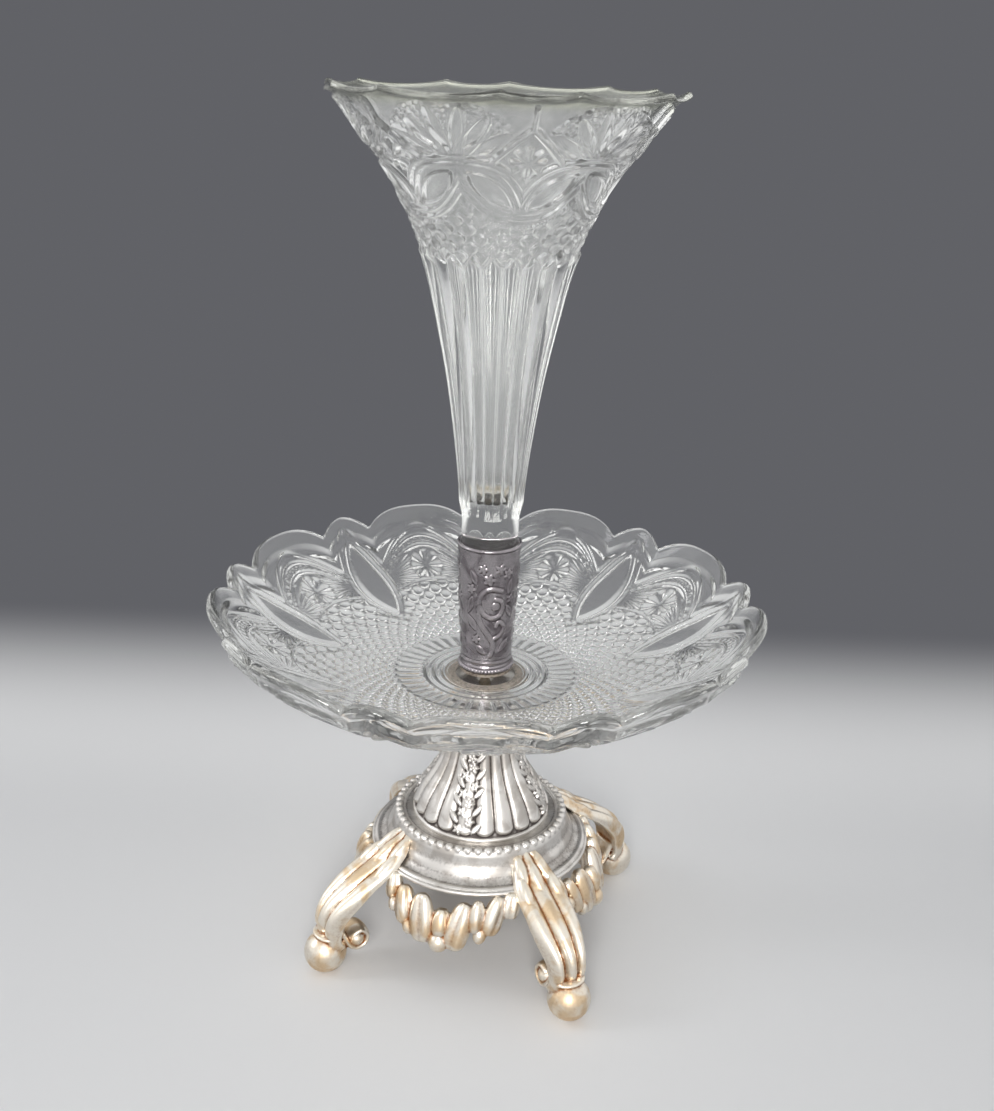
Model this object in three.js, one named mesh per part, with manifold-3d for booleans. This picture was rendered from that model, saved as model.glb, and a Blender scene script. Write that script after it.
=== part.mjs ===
// Table centrepiece: a pressed glass trumpet vase stands in a metal sleeve, above a pressed glass dish.
// A fluted column on a beaded skirt carries them, on four scroll legs with a garland between each two.
// Millimetres, +Z up. The origin is on the table, under the middle of the foot.

import * as THREE from "three";
import { mergeVertices } from "three/addons/utils/BufferGeometryUtils.js";
import Module from "manifold-3d";

const wasm = await Module();
wasm.setup();

// Clearances
const GAP = 0.3; // between pieces that rest on, or are soldered to, each other
const TAPER_CLEARANCE = 0.35; // all round the glass plug, in its sleeve
const PLUG_CLEARANCE = 2; // below the glass plug, above the tie rod

// Roundness: how many sides the round pieces have, and in how many steps their curves run
const VASE_SIDES = 48;
const DISH_SIDES = 90;
const SKIRT_SIDES = 36;
const RING_SIDES = 24;
const TOE_SIDES = 12;
const TOE_STEPS = 7;
const HEEL_SIDES = 10;
const LOBE_SIDES = 7;
const LOBE_STEPS = 5;
const ROD_SIDES = 12;
const NUT_SIDES = 6;
const VASE_STEPS = 8;
const DISH_STEPS = 7;
const COLUMN_STEPS = 6;
const FLANGE_STEPS = 3;
const LEG_STEPS = 9;
const SPUR_STEPS = 4;
const MERGE_DISTANCE = 1e-4; // vertices closer than this are one

// Foot
const LEGS = 4;
const SKIRT_TOP_Z = 58; // the ledge that the column stands on
const SKIRT_BORE_R = 24;
const SKIRT_WALL = 1.8;
const BEAD_RING_R = 35.5; // the raised ring that carries the beads
const BEAD_RING_WIDTH = 4.4;
const BEAD_RING_RISE = 1;
const BEAD_RING_FALL = 0.5; // from the crown's inner edge to its outer one
const BEAD_CROWN_HALF = 1; // half the width of the ring's crown
const SKIRT_STEP = 1.6; // down from the ledge to where the sweep starts
const SKIRT_SWEEP = [[0, 0], [0.12, 0.4], [0.42, 0.72], [1, 1]];
const FLANGE_R = 47;
const FLANGE_Z = 45.6; // the top of the flange at its edge
const FLANGE_ROUND = 0.5; // how far its rounded edge stands out
const TOE_CIRCLE_R = 74.5; // the circle that the four toes stand on
const TOE_R = 9;
const TOE_FLAT_R = 3.2; // the worn flat under each toe
const LEG_ROOT_WIDTH = 14;
const LEG_WIDTH = 22; // over the arch, where the garlands meet it
const LEG_ANKLE_WIDTH = 16.5;
const LEG_WIDE_AT = 0.3; // shares of the way down the leg
const LEG_NARROWS = [0.5, 0.9];
const LEG_ROOT_THICKNESS = 5;
const LEG_KNEE_THICKNESS = 10.5;
const LEG_THICKENS = [0.3, 0.75];
const LEG_TIP_OUTSET = 0.5; // from the middle of the bead ring to the leg's upper tip
const LEG_TIP_DROP = 2.5;
const LEG_OVER_FLANGE = 1.4; // where its middle line crosses the flange's edge
const LEG_FLANGE_INSET = 1;
const LEG_ARCH = [[0, 1], [0.51, 0.76], [0.88, 0.48], [0.94, 0.22], [0.9, 0.08]];
const HEEL_R = 4.8; // the small scroll behind each toe
const HEEL_INSET = 13; // from the toe's middle to the small scroll's, towards the axis
const HEEL_Z = 12.5;
const HEEL_WIDTH = 13;
const SPUR_START = [0.9, 0.2]; // the spur joins the small scroll to the leg
const SPUR_BEND = 0.4;
const SPUR_RISE = 2;
const SPUR_INSET = 1; // each side of it, from the small scroll's ends
const SPUR_THICKNESS = 7.7;
const GARLAND_LOBES = 8;
const GARLAND_OUTSET = 2; // its ends hang so far out from the flange's edge
const GARLAND_BULGE = 3; // how much further out its middle hangs
const GARLAND_DROP = 9.1; // from the flange to the middle of its end lobes
const GARLAND_SAG = 6;
const GARLAND_LOBE_DEPTH = 8;
const GARLAND_LOBE_HEIGHTS = [18, 20]; // long and short lobes take turns
const GARLAND_LOBE_OVERLAP = 1.225; // how much wider a lobe is than the room between two
const GARLAND_LEAN_DEG = 20; // each lobe's lower end leans out
const GARLAND_SPREAD_DEG = 34; // from the garland's middle to its end lobes

// Column
const COLUMN_HEIGHT = 47.4;
const COLUMN_BOTTOM_R = 30.6;
const COLUMN_TOP_R = 13.2;
const COLUMN_WALL = 2.4;
const COLUMN_FLUTES = 20;
const COLUMN_FLUTE_DEPTH = 1.1;
const COLUMN_CURVE = [[0, 0], [0.13, 0.12], [0.28, 0.24], [0.6, 0.43], [0.77, 0.57], [0.91, 0.77], [1, 1]];

// Dish and what clamps it
const SEAT_HEIGHT = 12;
const SEAT_R = 17;
const SEAT_WALL = 2.2;
const SEAT_FOOT_INSET = 1; // from the column's top edge
const SEAT_FLARE = [[0, 0], [0.17, 0.3], [0.52, 0.62], [1, 0.88], [1, 1]];
const SEAT_HOLLOW_SHARE = 0.5; // of its height, up to the wide part of its inside
const GASKET_THICKNESS = 1.2;
const GASKET_INSET = 1; // from the edge of the ring above it
const DISH_R = 110; // to the tops of the rim's lobes, inside
const DISH_DEPTH = 34.8;
const DISH_FLOOR_R = 24;
const DISH_FLOOR_THICKNESS = 5.4;
const DISH_RIM_THICKNESS = 4;
const DISH_BOWL = [[0, 0], [0.18, 0.026], [0.377, 0.106], [0.576, 0.25], [0.744, 0.446], [0.855, 0.638],
  [0.934, 0.805], [1, 1]];
const DISH_PERIODS = 9; // a wide lobe and a small one, nine times round
const DISH_SMALL_LOBE_DEG = 15;
const DISH_NOTCH_DEPTH = 9; // along the wall, from the tops of the lobes
const DISH_LOBES_START_SHARE = 0.8; // of the way from the flat floor to the rim
const DISH_TURN_DEG = -6.5;

// Tie rod, nuts and plate
const ROD_R = 2.5;
const NUT_R = 5.2; // to the corners
const NUT_HEIGHT = 4;
const ROD_PROUD = 1.7; // past each nut
const PLATE_R = 29;
const PLATE_THICKNESS = 2;

// Sleeve
const RING_R = 11.8;
const RING_HEIGHT = 3;
const RING_ROUND = 0.6;
const RING_SHOULDER = 0.5; // past the sleeve that stands on it
const SLEEVE_HEIGHT = 52;
const SLEEVE_BOTTOM_R = 10.6;
const SLEEVE_TOP_R = 13.1;
const SLEEVE_WALL = 1.2;
const SLEEVE_FLOOR = 1.5;

// Vase
const PLUG_SHOWING = 13.5; // plain glass between the sleeve's mouth and the flutes
const VASE_HEIGHT = 157.5; // of the fluted and flared part
const VASE_FOOT_R = 12.2;
const VASE_RIM_R = 66;
const VASE_FOOT_WALL = 4.2;
const VASE_RIM_WALL = 2.8;
const VASE_CUP_FLOOR = 4; // glass above the flutes' lower ends, below the inside
const VASE_FLARE = [[0, 0], [0.027, 0.126], [0.098, 0.32], [0.19, 0.49], [0.3, 0.635], [0.515, 0.8],
  [0.718, 0.893], [0.909, 0.978], [1, 1]];
const VASE_FLUTES = 24;
const VASE_FLUTE_DEPTH = 0.7;
const VASE_FLUTED_SHARE = 0.6; // of the height, before the flutes give way to the lattice
const VASE_PERIODS = 6; // a wide scallop and a narrow one, six times round
const VASE_WIDE_SCALLOP_DEG = 37;
const VASE_SCALLOPED_SHARE = 0.95; // of the height: the rim above it is scalloped
const VASE_SCALLOP_DEPTH = 1.6;
const VASE_TURN_DEG = -6;

// Heights of the stack, from the table up
const columnZ = SKIRT_TOP_Z + GAP;
const seatZ = columnZ + COLUMN_HEIGHT + GAP;
const lowerGasketZ = seatZ + SEAT_HEIGHT + GAP;
const dishUnderZ = lowerGasketZ + GASKET_THICKNESS + GAP;
const dishFloorZ = dishUnderZ + DISH_FLOOR_THICKNESS;
const upperGasketZ = dishFloorZ + GAP;
const ringZ = upperGasketZ + GASKET_THICKNESS + GAP;
const sleeveZ = ringZ + RING_HEIGHT + GAP;
const sleeveTopZ = sleeveZ + SLEEVE_HEIGHT;
const sleeveNutZ = sleeveZ + SLEEVE_FLOOR + GAP;
const rodTopZ = sleeveNutZ + NUT_HEIGHT + ROD_PROUD;
const plugZ = rodTopZ + PLUG_CLEARANCE;
const vaseZ = sleeveTopZ + PLUG_SHOWING;
const plateZ = SKIRT_TOP_Z - SKIRT_WALL - GAP - PLATE_THICKNESS;
const footNutZ = plateZ - GAP - NUT_HEIGHT;
const rodBottomZ = footNutZ - ROD_PROUD;
const toeZ = Math.sqrt(TOE_R ** 2 - TOE_FLAT_R ** 2);
const garlandR = FLANGE_R + GARLAND_OUTSET;
const garlandZ = FLANGE_Z - GARLAND_DROP;

const silver = new THREE.MeshStandardMaterial({ color: 0xb9b6ae, roughness: 0.3, metalness: 1 });
const darkSilver = new THREE.MeshStandardMaterial({ color: 0x7f7a80, roughness: 0.35, metalness: 1 });
const warmSilver = new THREE.MeshStandardMaterial({ color: 0xcbb287, roughness: 0.35, metalness: 1 });
const brass = new THREE.MeshStandardMaterial({ color: 0xa8854a, roughness: 0.45, metalness: 1 });
const cork = new THREE.MeshStandardMaterial({ color: 0x6f5236, roughness: 0.95, metalness: 0 });
const glass = new THREE.MeshStandardMaterial({
  color: 0xeef2ee,
  roughness: 0.04,
  metalness: 0,
  transparent: true,
  opacity: 0.35,
});

const radians = THREE.MathUtils.degToRad;
const lerp = THREE.MathUtils.lerp;
const ramp = THREE.MathUtils.smoothstep;

// Joins and cuts
function toSolid(geometry) {
  const plain = geometry.clone();
  plain.deleteAttribute("normal");
  plain.deleteAttribute("uv");
  const merged = mergeVertices(plain, MERGE_DISTANCE);
  return new wasm.Manifold(
    new wasm.Mesh({
      numProp: 3,
      vertProperties: merged.attributes.position.array,
      triVerts: new Uint32Array(merged.index.array),
    }),
  );
}

function toGeometry(solid) {
  const mesh = solid.getMesh();
  const geometry = new THREE.BufferGeometry();
  geometry.setAttribute("position", new THREE.BufferAttribute(mesh.vertProperties, 3));
  geometry.setIndex(new THREE.BufferAttribute(mesh.triVerts, 1));
  const faceted = geometry.toNonIndexed();
  faceted.computeVertexNormals();
  return faceted;
}

// A closed outline of [radius, height] points, turned about the Z axis. It runs up on the outside.
// Each vertex may then move out and up, by what change(angle, place in the outline, radius, height) says.
function turned(outline, sides, change = null) {
  const points = outline.map(([radius, height]) => new THREE.Vector2(radius, height));
  const onAxis = outline[0][0] === 0 && outline.at(-1)[0] === 0;
  if (!onAxis) points.push(points[0].clone());
  const geometry = new THREE.LatheGeometry(points, sides).rotateX(Math.PI / 2);
  if (!change) return geometry;
  const position = geometry.getAttribute("position");
  for (let i = 0; i < position.count; i++) {
    const x = position.getX(i);
    const y = position.getY(i);
    const z = position.getZ(i);
    const radius = Math.hypot(x, y);
    if (radius === 0) continue;
    const place = (i % points.length) % outline.length;
    const { out, up } = change(Math.atan2(x, -y), place, radius, z);
    const grown = (radius + out) / radius;
    position.setXYZ(i, x * grown, y * grown, z + up);
  }
  return geometry;
}

// Points along a smooth outline whose shape is given in shares of its run in radius and in height.
function outlineThrough(shares, from, to, count) {
  const points = shares.map(
    ([radiusShare, heightShare]) =>
      new THREE.Vector2(lerp(from[0], to[0], radiusShare), lerp(from[1], to[1], heightShare)),
  );
  return new THREE.SplineCurve(points).getPoints(count).map((point) => [point.x, point.y]);
}

// The same outline moved to its left-hand side, by a thickness that changes from its start to its end.
function offsetOutline(outline, startThickness, endThickness) {
  const last = outline.length - 1;
  return outline.map(([radius, height], i) => {
    const before = outline[Math.max(i - 1, 0)];
    const after = outline[Math.min(i + 1, last)];
    const along = new THREE.Vector2(after[0] - before[0], after[1] - before[1]).normalize();
    const thickness = lerp(startThickness, endThickness, i / last);
    return [radius - along.y * thickness, height + along.x * thickness];
  });
}

// The distance in degrees from the nearest of the repeated lines, which stand a period apart.
function fromNearest(angle, periods) {
  const period = 360 / periods;
  const degrees = THREE.MathUtils.radToDeg(angle);
  return degrees - period * Math.round(degrees / period);
}

// The radius of the sleeve's tapered inside, which the glass plug follows.
function innerSleeveR(z) {
  return lerp(SLEEVE_BOTTOM_R, SLEEVE_TOP_R, (z - sleeveZ) / SLEEVE_HEIGHT) - SLEEVE_WALL;
}

// Glass
function trumpetVase() {
  const plugTopR = innerSleeveR(sleeveTopZ) - TAPER_CLEARANCE;
  const plugBottomR = innerSleeveR(plugZ) - TAPER_CLEARANCE;
  const rim = [VASE_RIM_R, vaseZ + VASE_HEIGHT];
  const outside = outlineThrough(VASE_FLARE, [VASE_FOOT_R, vaseZ], rim, VASE_STEPS);
  const insideFloorZ = vaseZ + VASE_CUP_FLOOR;
  const inside = offsetOutline(outside, VASE_FOOT_WALL, VASE_RIM_WALL)
    .slice(1)
    .reverse();
  const plug = [[0, plugZ], [plugBottomR, plugZ], [plugTopR, sleeveTopZ], [plugTopR, vaseZ - GAP]];
  const halfWide = VASE_WIDE_SCALLOP_DEG / 2;
  const halfNarrow = 180 / VASE_PERIODS - halfWide;
  return turned(
    [...plug, ...outside, ...inside, [VASE_FOOT_R - VASE_FOOT_WALL, insideFloorZ], [0, insideFloorZ]],
    VASE_SIDES,
    (angle, place, radius, z) => {
      const share = (z - vaseZ) / VASE_HEIGHT;
      const onOutside = place >= plug.length && place < plug.length + outside.length;
      const inFlute = onOutside && share < VASE_FLUTED_SHARE && Math.cos(angle * VASE_FLUTES) < 0;
      const degrees = Math.abs(fromNearest(angle, VASE_PERIODS));
      const across = degrees < halfWide ? degrees / halfWide : (180 / VASE_PERIODS - degrees) / halfNarrow;
      const scallop = share > VASE_SCALLOPED_SHARE ? (across ** 2 - 0.5) * VASE_SCALLOP_DEPTH : 0;
      return { out: (inFlute ? -VASE_FLUTE_DEPTH : 0) + scallop, up: scallop };
    },
  );
}

function glassDish() {
  const rim = [DISH_R, dishFloorZ + DISH_DEPTH];
  const top = outlineThrough(DISH_BOWL, [DISH_FLOOR_R, dishFloorZ], rim, DISH_STEPS);
  const under = offsetOutline(top, -DISH_FLOOR_THICKNESS, -DISH_RIM_THICKNESS);
  const boreR = ROD_R + GAP + GASKET_THICKNESS;
  const smallHalf = DISH_SMALL_LOBE_DEG / 2;
  const wideHalf = 180 / DISH_PERIODS - smallHalf;
  const lobesStartR = lerp(DISH_FLOOR_R, DISH_R, DISH_LOBES_START_SHARE);
  const beforeRim = top.at(-2);
  const wallLean = Math.atan2(rim[1] - beforeRim[1], rim[0] - beforeRim[0]);
  return turned(
    [[boreR, dishUnderZ], ...under, ...top.reverse(), [boreR, dishFloorZ]],
    DISH_SIDES,
    (angle, place, radius) => {
      const degrees = Math.abs(fromNearest(angle, DISH_PERIODS));
      const across = degrees < smallHalf ? degrees / smallHalf : (180 / DISH_PERIODS - degrees) / wideHalf;
      const share = THREE.MathUtils.clamp((radius - lobesStartR) / (DISH_R - lobesStartR), 0, 1);
      const drop = DISH_NOTCH_DEPTH * across ** 2 * share;
      return { out: -drop * Math.cos(wallLean), up: -drop * Math.sin(wallLean) };
    },
  );
}

// Turned and cast metal
function vaseSleeve() {
  const boreR = ROD_R + GAP;
  const lipZ = sleeveTopZ - SLEEVE_WALL;
  return turned(
    [[boreR, sleeveZ], [SLEEVE_BOTTOM_R, sleeveZ], [SLEEVE_TOP_R, sleeveTopZ],
      [innerSleeveR(sleeveTopZ), sleeveTopZ], [innerSleeveR(lipZ), lipZ],
      [SLEEVE_BOTTOM_R - SLEEVE_WALL, sleeveZ + SLEEVE_FLOOR], [boreR, sleeveZ + SLEEVE_FLOOR]],
    RING_SIDES,
  );
}

function sleeveRing() {
  const boreR = ROD_R + GAP;
  const rolledZ = ringZ + RING_HEIGHT / 2;
  return turned(
    [[boreR, ringZ], [RING_R - RING_ROUND, ringZ], [RING_R, ringZ + RING_ROUND], [RING_R, rolledZ],
      [SLEEVE_BOTTOM_R + RING_SHOULDER, ringZ + RING_HEIGHT], [boreR, ringZ + RING_HEIGHT]],
    RING_SIDES,
  );
}

function dishSeat() {
  const boreR = ROD_R + GAP;
  const footR = COLUMN_TOP_R - SEAT_FOOT_INSET;
  const floorTopZ = seatZ + SEAT_WALL;
  const outside = SEAT_FLARE.map(([radiusShare, heightShare]) => [
    lerp(footR, SEAT_R, radiusShare),
    seatZ + SEAT_HEIGHT * heightShare,
  ]);
  return turned(
    [[boreR, seatZ], ...outside, [SEAT_R - SEAT_WALL, seatZ + SEAT_HEIGHT],
      [COLUMN_TOP_R - SEAT_WALL, seatZ + SEAT_HEIGHT * SEAT_HOLLOW_SHARE], [footR - SEAT_WALL, floorTopZ],
      [boreR, floorTopZ]],
    RING_SIDES,
  );
}

function washer(z, innerR, outerR, thickness) {
  return turned([[innerR, z], [outerR, z], [outerR, z + thickness], [innerR, z + thickness]], RING_SIDES);
}

function flutedColumn() {
  const top = [COLUMN_TOP_R, columnZ + COLUMN_HEIGHT];
  const outside = outlineThrough(COLUMN_CURVE, [COLUMN_BOTTOM_R, columnZ], top, COLUMN_STEPS);
  const inside = outside.map(([radius, z]) => [radius - COLUMN_WALL - COLUMN_FLUTE_DEPTH, z]).reverse();
  return turned([...outside, ...inside], COLUMN_FLUTES * 2, (angle, place) => {
    const inFlute = place < outside.length && Math.cos(angle * COLUMN_FLUTES) < 0;
    return { out: inFlute ? -COLUMN_FLUTE_DEPTH : 0, up: 0 };
  });
}

// The skirt's upper surface, from its bore out to the edge of the flange.
function skirtOutline() {
  const beadInnerR = BEAD_RING_R - BEAD_RING_WIDTH / 2;
  const beadOuterR = BEAD_RING_R + BEAD_RING_WIDTH / 2;
  const crownZ = SKIRT_TOP_Z + BEAD_RING_RISE;
  const bead = [[SKIRT_BORE_R, SKIRT_TOP_Z], [beadInnerR, SKIRT_TOP_Z],
    [BEAD_RING_R - BEAD_CROWN_HALF, crownZ], [BEAD_RING_R + BEAD_CROWN_HALF, crownZ - BEAD_RING_FALL]];
  const sweepStart = [beadOuterR, SKIRT_TOP_Z - SKIRT_STEP];
  return [...bead, ...outlineThrough(SKIRT_SWEEP, sweepStart, [FLANGE_R, FLANGE_Z], FLANGE_STEPS)];
}

function baseSkirt() {
  const upper = skirtOutline();
  const lower = offsetOutline(upper, -SKIRT_WALL, -SKIRT_WALL);
  const edge = [FLANGE_R + FLANGE_ROUND, FLANGE_Z - SKIRT_WALL / 2];
  return turned([...lower, edge, ...upper.reverse()], SKIRT_SIDES);
}

// All that lies under the skirt's upper surface, grown by the clearance: it trims what is soldered on.
function skirtEnvelope() {
  const upper = skirtOutline().slice(1);
  const grown = offsetOutline(upper, GAP, GAP);
  const floorZ = FLANGE_Z - SKIRT_WALL - GAP;
  const edgeR = FLANGE_R + FLANGE_ROUND + GAP;
  return turned(
    [[0, floorZ], [edgeR, floorZ], [edgeR, FLANGE_Z], ...grown.reverse(), [0, SKIRT_TOP_Z + GAP]],
    SKIRT_SIDES,
  );
}

// Legs: a ribbed strap is lofted along a spine in the XZ plane, where X runs out from the axis.
const RIBBED_SECTION = [[-1, -0.3], [-0.88, 0.35], [-0.6, 0.8], [-0.32, 0.6], [0, 1], [0.32, 0.6], [0.6, 0.8],
  [0.88, 0.35], [1, -0.3], [1, -0.8], [0.55, -0.7], [-0.55, -0.7], [-1, -0.8]];
const PLAIN_SECTION = [[-1, 0], [-0.7, 0.8], [0.7, 0.8], [1, 0], [0.7, -0.8], [-0.7, -0.8]];

function loftedStrap(spine, section, steps, widthAt, thicknessAt) {
  const curve = new THREE.CatmullRomCurve3(spine.map(([x, z]) => new THREE.Vector3(x, 0, z)));
  const sideways = new THREE.Vector3(0, 1, 0);
  const around = section.length;
  const vertices = [];
  const faces = [];
  for (let step = 0; step <= steps; step++) {
    const share = step / steps;
    const centre = curve.getPoint(share);
    const outwards = curve.getTangent(share).cross(sideways).negate();
    for (const [across, outward] of section) {
      const point = centre
        .clone()
        .addScaledVector(sideways, (across * widthAt(share)) / 2)
        .addScaledVector(outwards, (outward * thicknessAt(share)) / 2);
      vertices.push(...point.toArray());
    }
    if (step === steps) continue;
    for (let i = 0; i < around; i++) {
      const here = step * around + i;
      const next = step * around + ((i + 1) % around);
      faces.push(here, next, next + around, here, next + around, here + around);
    }
  }
  for (const step of [0, steps]) {
    const middle = vertices.length / 3;
    vertices.push(...curve.getPoint(step / steps).toArray());
    for (let i = 0; i < around; i++) {
      const here = step * around + i;
      const next = step * around + ((i + 1) % around);
      faces.push(...(step === 0 ? [middle, next, here] : [middle, here, next]));
    }
  }
  const geometry = new THREE.BufferGeometry();
  geometry.setAttribute("position", new THREE.Float32BufferAttribute(vertices, 3));
  geometry.setIndex(faces);
  return geometry;
}

// A point under the flange, in shares of the way out to the toe and of the way up from it.
function legPoint(outShare, upShare) {
  return [
    lerp(FLANGE_R - LEG_FLANGE_INSET, TOE_CIRCLE_R, outShare),
    lerp(toeZ, FLANGE_Z + LEG_OVER_FLANGE, upShare),
  ];
}

function legStrap(clearance) {
  const widthAt = (share) => {
    const above = lerp(LEG_ROOT_WIDTH, LEG_WIDTH, ramp(share, 0, LEG_WIDE_AT));
    return lerp(above, LEG_ANKLE_WIDTH, ramp(share, ...LEG_NARROWS));
  };
  const thicknessAt = (share) => lerp(LEG_ROOT_THICKNESS, LEG_KNEE_THICKNESS, ramp(share, ...LEG_THICKENS));
  const tip = [BEAD_RING_R + LEG_TIP_OUTSET, SKIRT_TOP_Z - LEG_TIP_DROP];
  return loftedStrap(
    [tip, ...LEG_ARCH.map((shares) => legPoint(...shares))],
    RIBBED_SECTION,
    LEG_STEPS,
    (share) => widthAt(share) + 2 * clearance,
    (share) => thicknessAt(share) + 2 * clearance,
  );
}

function scrollLeg() {
  const heelX = TOE_CIRCLE_R - HEEL_INSET;
  const spur = loftedStrap(
    [legPoint(...SPUR_START), [lerp(heelX, TOE_CIRCLE_R, SPUR_BEND), toeZ + SPUR_RISE], [heelX, HEEL_Z]],
    PLAIN_SECTION,
    SPUR_STEPS,
    () => HEEL_WIDTH - 2 * SPUR_INSET,
    () => SPUR_THICKNESS,
  );
  const toe = new THREE.SphereGeometry(TOE_R, TOE_SIDES, TOE_STEPS)
    .rotateX(Math.PI / 2)
    .translate(TOE_CIRCLE_R, 0, toeZ);
  const heel = new THREE.CylinderGeometry(HEEL_R, HEEL_R, HEEL_WIDTH, HEEL_SIDES).translate(heelX, 0, HEEL_Z);
  const span = 4 * TOE_CIRCLE_R;
  const above = new THREE.BoxGeometry(span, span, span).translate(0, 0, span / 2);
  return toGeometry(
    toSolid(legStrap(0))
      .add(toSolid(toe))
      .add(toSolid(heel))
      .add(toSolid(spur))
      .subtract(toSolid(skirtEnvelope()))
      .intersect(toSolid(above)),
  );
}

// Garland: leaves and fruit hang side by side on a sagging line between two legs.
function garland() {
  const pitch = (2 * GARLAND_SPREAD_DEG) / (GARLAND_LOBES - 1);
  const room = (garlandR + GARLAND_BULGE) * radians(pitch);
  let joined = null;
  for (let i = 0; i < GARLAND_LOBES; i++) {
    const degrees = -GARLAND_SPREAD_DEG + i * pitch;
    const towardsEnd = Math.abs(degrees) / GARLAND_SPREAD_DEG;
    const sag = 1 - towardsEnd ** 2;
    const height = GARLAND_LOBE_HEIGHTS[i % GARLAND_LOBE_HEIGHTS.length];
    const lobe = new THREE.SphereGeometry(1 / 2, LOBE_SIDES, LOBE_STEPS)
      .rotateX(Math.PI / 2)
      .scale(GARLAND_LOBE_DEPTH, room * GARLAND_LOBE_OVERLAP, height)
      .rotateY(-radians(GARLAND_LEAN_DEG))
      .translate(garlandR + GARLAND_BULGE * sag, 0, garlandZ - GARLAND_SAG * sag)
      .rotateZ(radians(degrees));
    joined = joined ? joined.add(toSolid(lobe)) : toSolid(lobe);
  }
  const halfStep = 180 / LEGS;
  for (const side of [-1, 1]) {
    const leg = legStrap(2 * GAP).rotateZ(radians(side * halfStep));
    joined = joined.subtract(toSolid(leg));
  }
  return toGeometry(joined.subtract(toSolid(skirtEnvelope())));
}

// Fasteners
function tieRod() {
  return turned([[0, rodBottomZ], [ROD_R, rodBottomZ], [ROD_R, rodTopZ], [0, rodTopZ]], ROD_SIDES);
}

function nut(z) {
  const boreR = (ROD_R + GAP) / Math.cos(Math.PI / NUT_SIDES);
  return turned([[boreR, z], [NUT_R, z], [NUT_R, z + NUT_HEIGHT], [boreR, z + NUT_HEIGHT]], NUT_SIDES);
}

// Assembly
const centrepiece = new THREE.Group();

function place(parent, name, geometry, material, turnDegrees = 0) {
  const mesh = new THREE.Mesh(geometry, material.clone());
  mesh.name = name;
  mesh.rotation.z = radians(turnDegrees);
  parent.add(mesh);
}

const foot = new THREE.Group();
centrepiece.add(foot);
place(foot, "base_skirt", baseSkirt(), silver);
for (let i = 0; i < LEGS; i++) {
  const quarter = (360 / LEGS) * i;
  place(foot, `leg_${i + 1}`, scrollLeg(), warmSilver, quarter + 180 / LEGS);
  place(foot, `garland_${i + 1}`, garland(), warmSilver, quarter);
}
place(foot, "clamp_plate", washer(plateZ, ROD_R + GAP, PLATE_R, PLATE_THICKNESS), brass);
place(foot, "foot_nut", nut(footNutZ), brass);
place(foot, "tie_rod", tieRod(), brass);

const stem = new THREE.Group();
centrepiece.add(stem);
place(stem, "fluted_column", flutedColumn(), silver);
place(stem, "dish_seat", dishSeat(), silver);
place(stem, "lower_gasket", washer(lowerGasketZ, SEAT_R - 2 * SEAT_WALL, SEAT_R, GASKET_THICKNESS), cork);
place(stem, "glass_dish", glassDish(), glass, DISH_TURN_DEG);
place(stem, "upper_gasket", washer(upperGasketZ, ROD_R + GAP, RING_R - GASKET_INSET, GASKET_THICKNESS), cork);
place(stem, "sleeve_ring", sleeveRing(), darkSilver);
place(stem, "vase_sleeve", vaseSleeve(), darkSilver);
place(stem, "sleeve_nut", nut(sleeveNutZ), brass);

place(centrepiece, "trumpet_vase", trumpetVase(), glass, VASE_TURN_DEG);

export default centrepiece;
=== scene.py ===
"""Looks of a table centrepiece: a pressed glass vase and dish on a silver-plated stand.

Shapes are worked out in millimetres and written to the meshes in metres. A direction round the axis
is the angle in degrees from -Y towards +X.
"""

import math

import bpy
import numpy as np
from mathutils import Matrix, Vector


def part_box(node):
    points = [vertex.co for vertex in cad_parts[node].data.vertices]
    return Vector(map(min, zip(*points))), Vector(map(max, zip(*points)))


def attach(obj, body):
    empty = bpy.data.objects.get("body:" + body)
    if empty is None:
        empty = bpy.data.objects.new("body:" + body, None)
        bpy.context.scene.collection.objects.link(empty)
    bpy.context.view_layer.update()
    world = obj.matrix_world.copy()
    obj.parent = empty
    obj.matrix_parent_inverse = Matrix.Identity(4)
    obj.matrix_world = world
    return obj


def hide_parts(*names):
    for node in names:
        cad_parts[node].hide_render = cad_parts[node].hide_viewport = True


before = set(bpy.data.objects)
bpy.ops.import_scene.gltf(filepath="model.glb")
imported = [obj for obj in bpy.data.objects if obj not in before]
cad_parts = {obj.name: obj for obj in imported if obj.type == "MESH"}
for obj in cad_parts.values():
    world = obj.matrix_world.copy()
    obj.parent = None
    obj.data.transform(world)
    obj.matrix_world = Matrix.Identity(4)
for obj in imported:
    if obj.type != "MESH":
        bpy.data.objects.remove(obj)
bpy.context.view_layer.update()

MM = 0.001
STAND = "stand"
VASE = "vase"
LEGS = 4

# Fineness of the meshes: columns round the axis, and the castings' grid in millimetres
VASE_COLUMNS = 720
DISH_COLUMNS = 720
METAL_COLUMNS = 480
CAST_VOXEL = 0.42


def box_mm(node):
    """Lowest and highest corner of a CAD node, in millimetres."""
    low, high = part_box(node)
    return np.array(low) / MM, np.array(high) / MM


# Curves and profiles

def smooth(x, low, high):
    """0 below low, 1 above high, and an even S between."""
    t = np.clip((x - low) / (high - low), 0, 1)
    return t * t * (3 - 2 * t)


def round_ridge(distance, half_width):
    return np.sqrt(np.clip(1 - (distance / half_width) ** 2, 0, None))


def sharp_ridge(distance, half_width):
    return np.clip(1 - np.abs(distance) / half_width, 0, None)


def soft_ridge(distance, half_width):
    """A ridge that runs out smoothly on both sides, as pressed glass has it."""
    return np.clip(1 - (distance / half_width) ** 2, 0, None) ** 1.6


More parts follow.
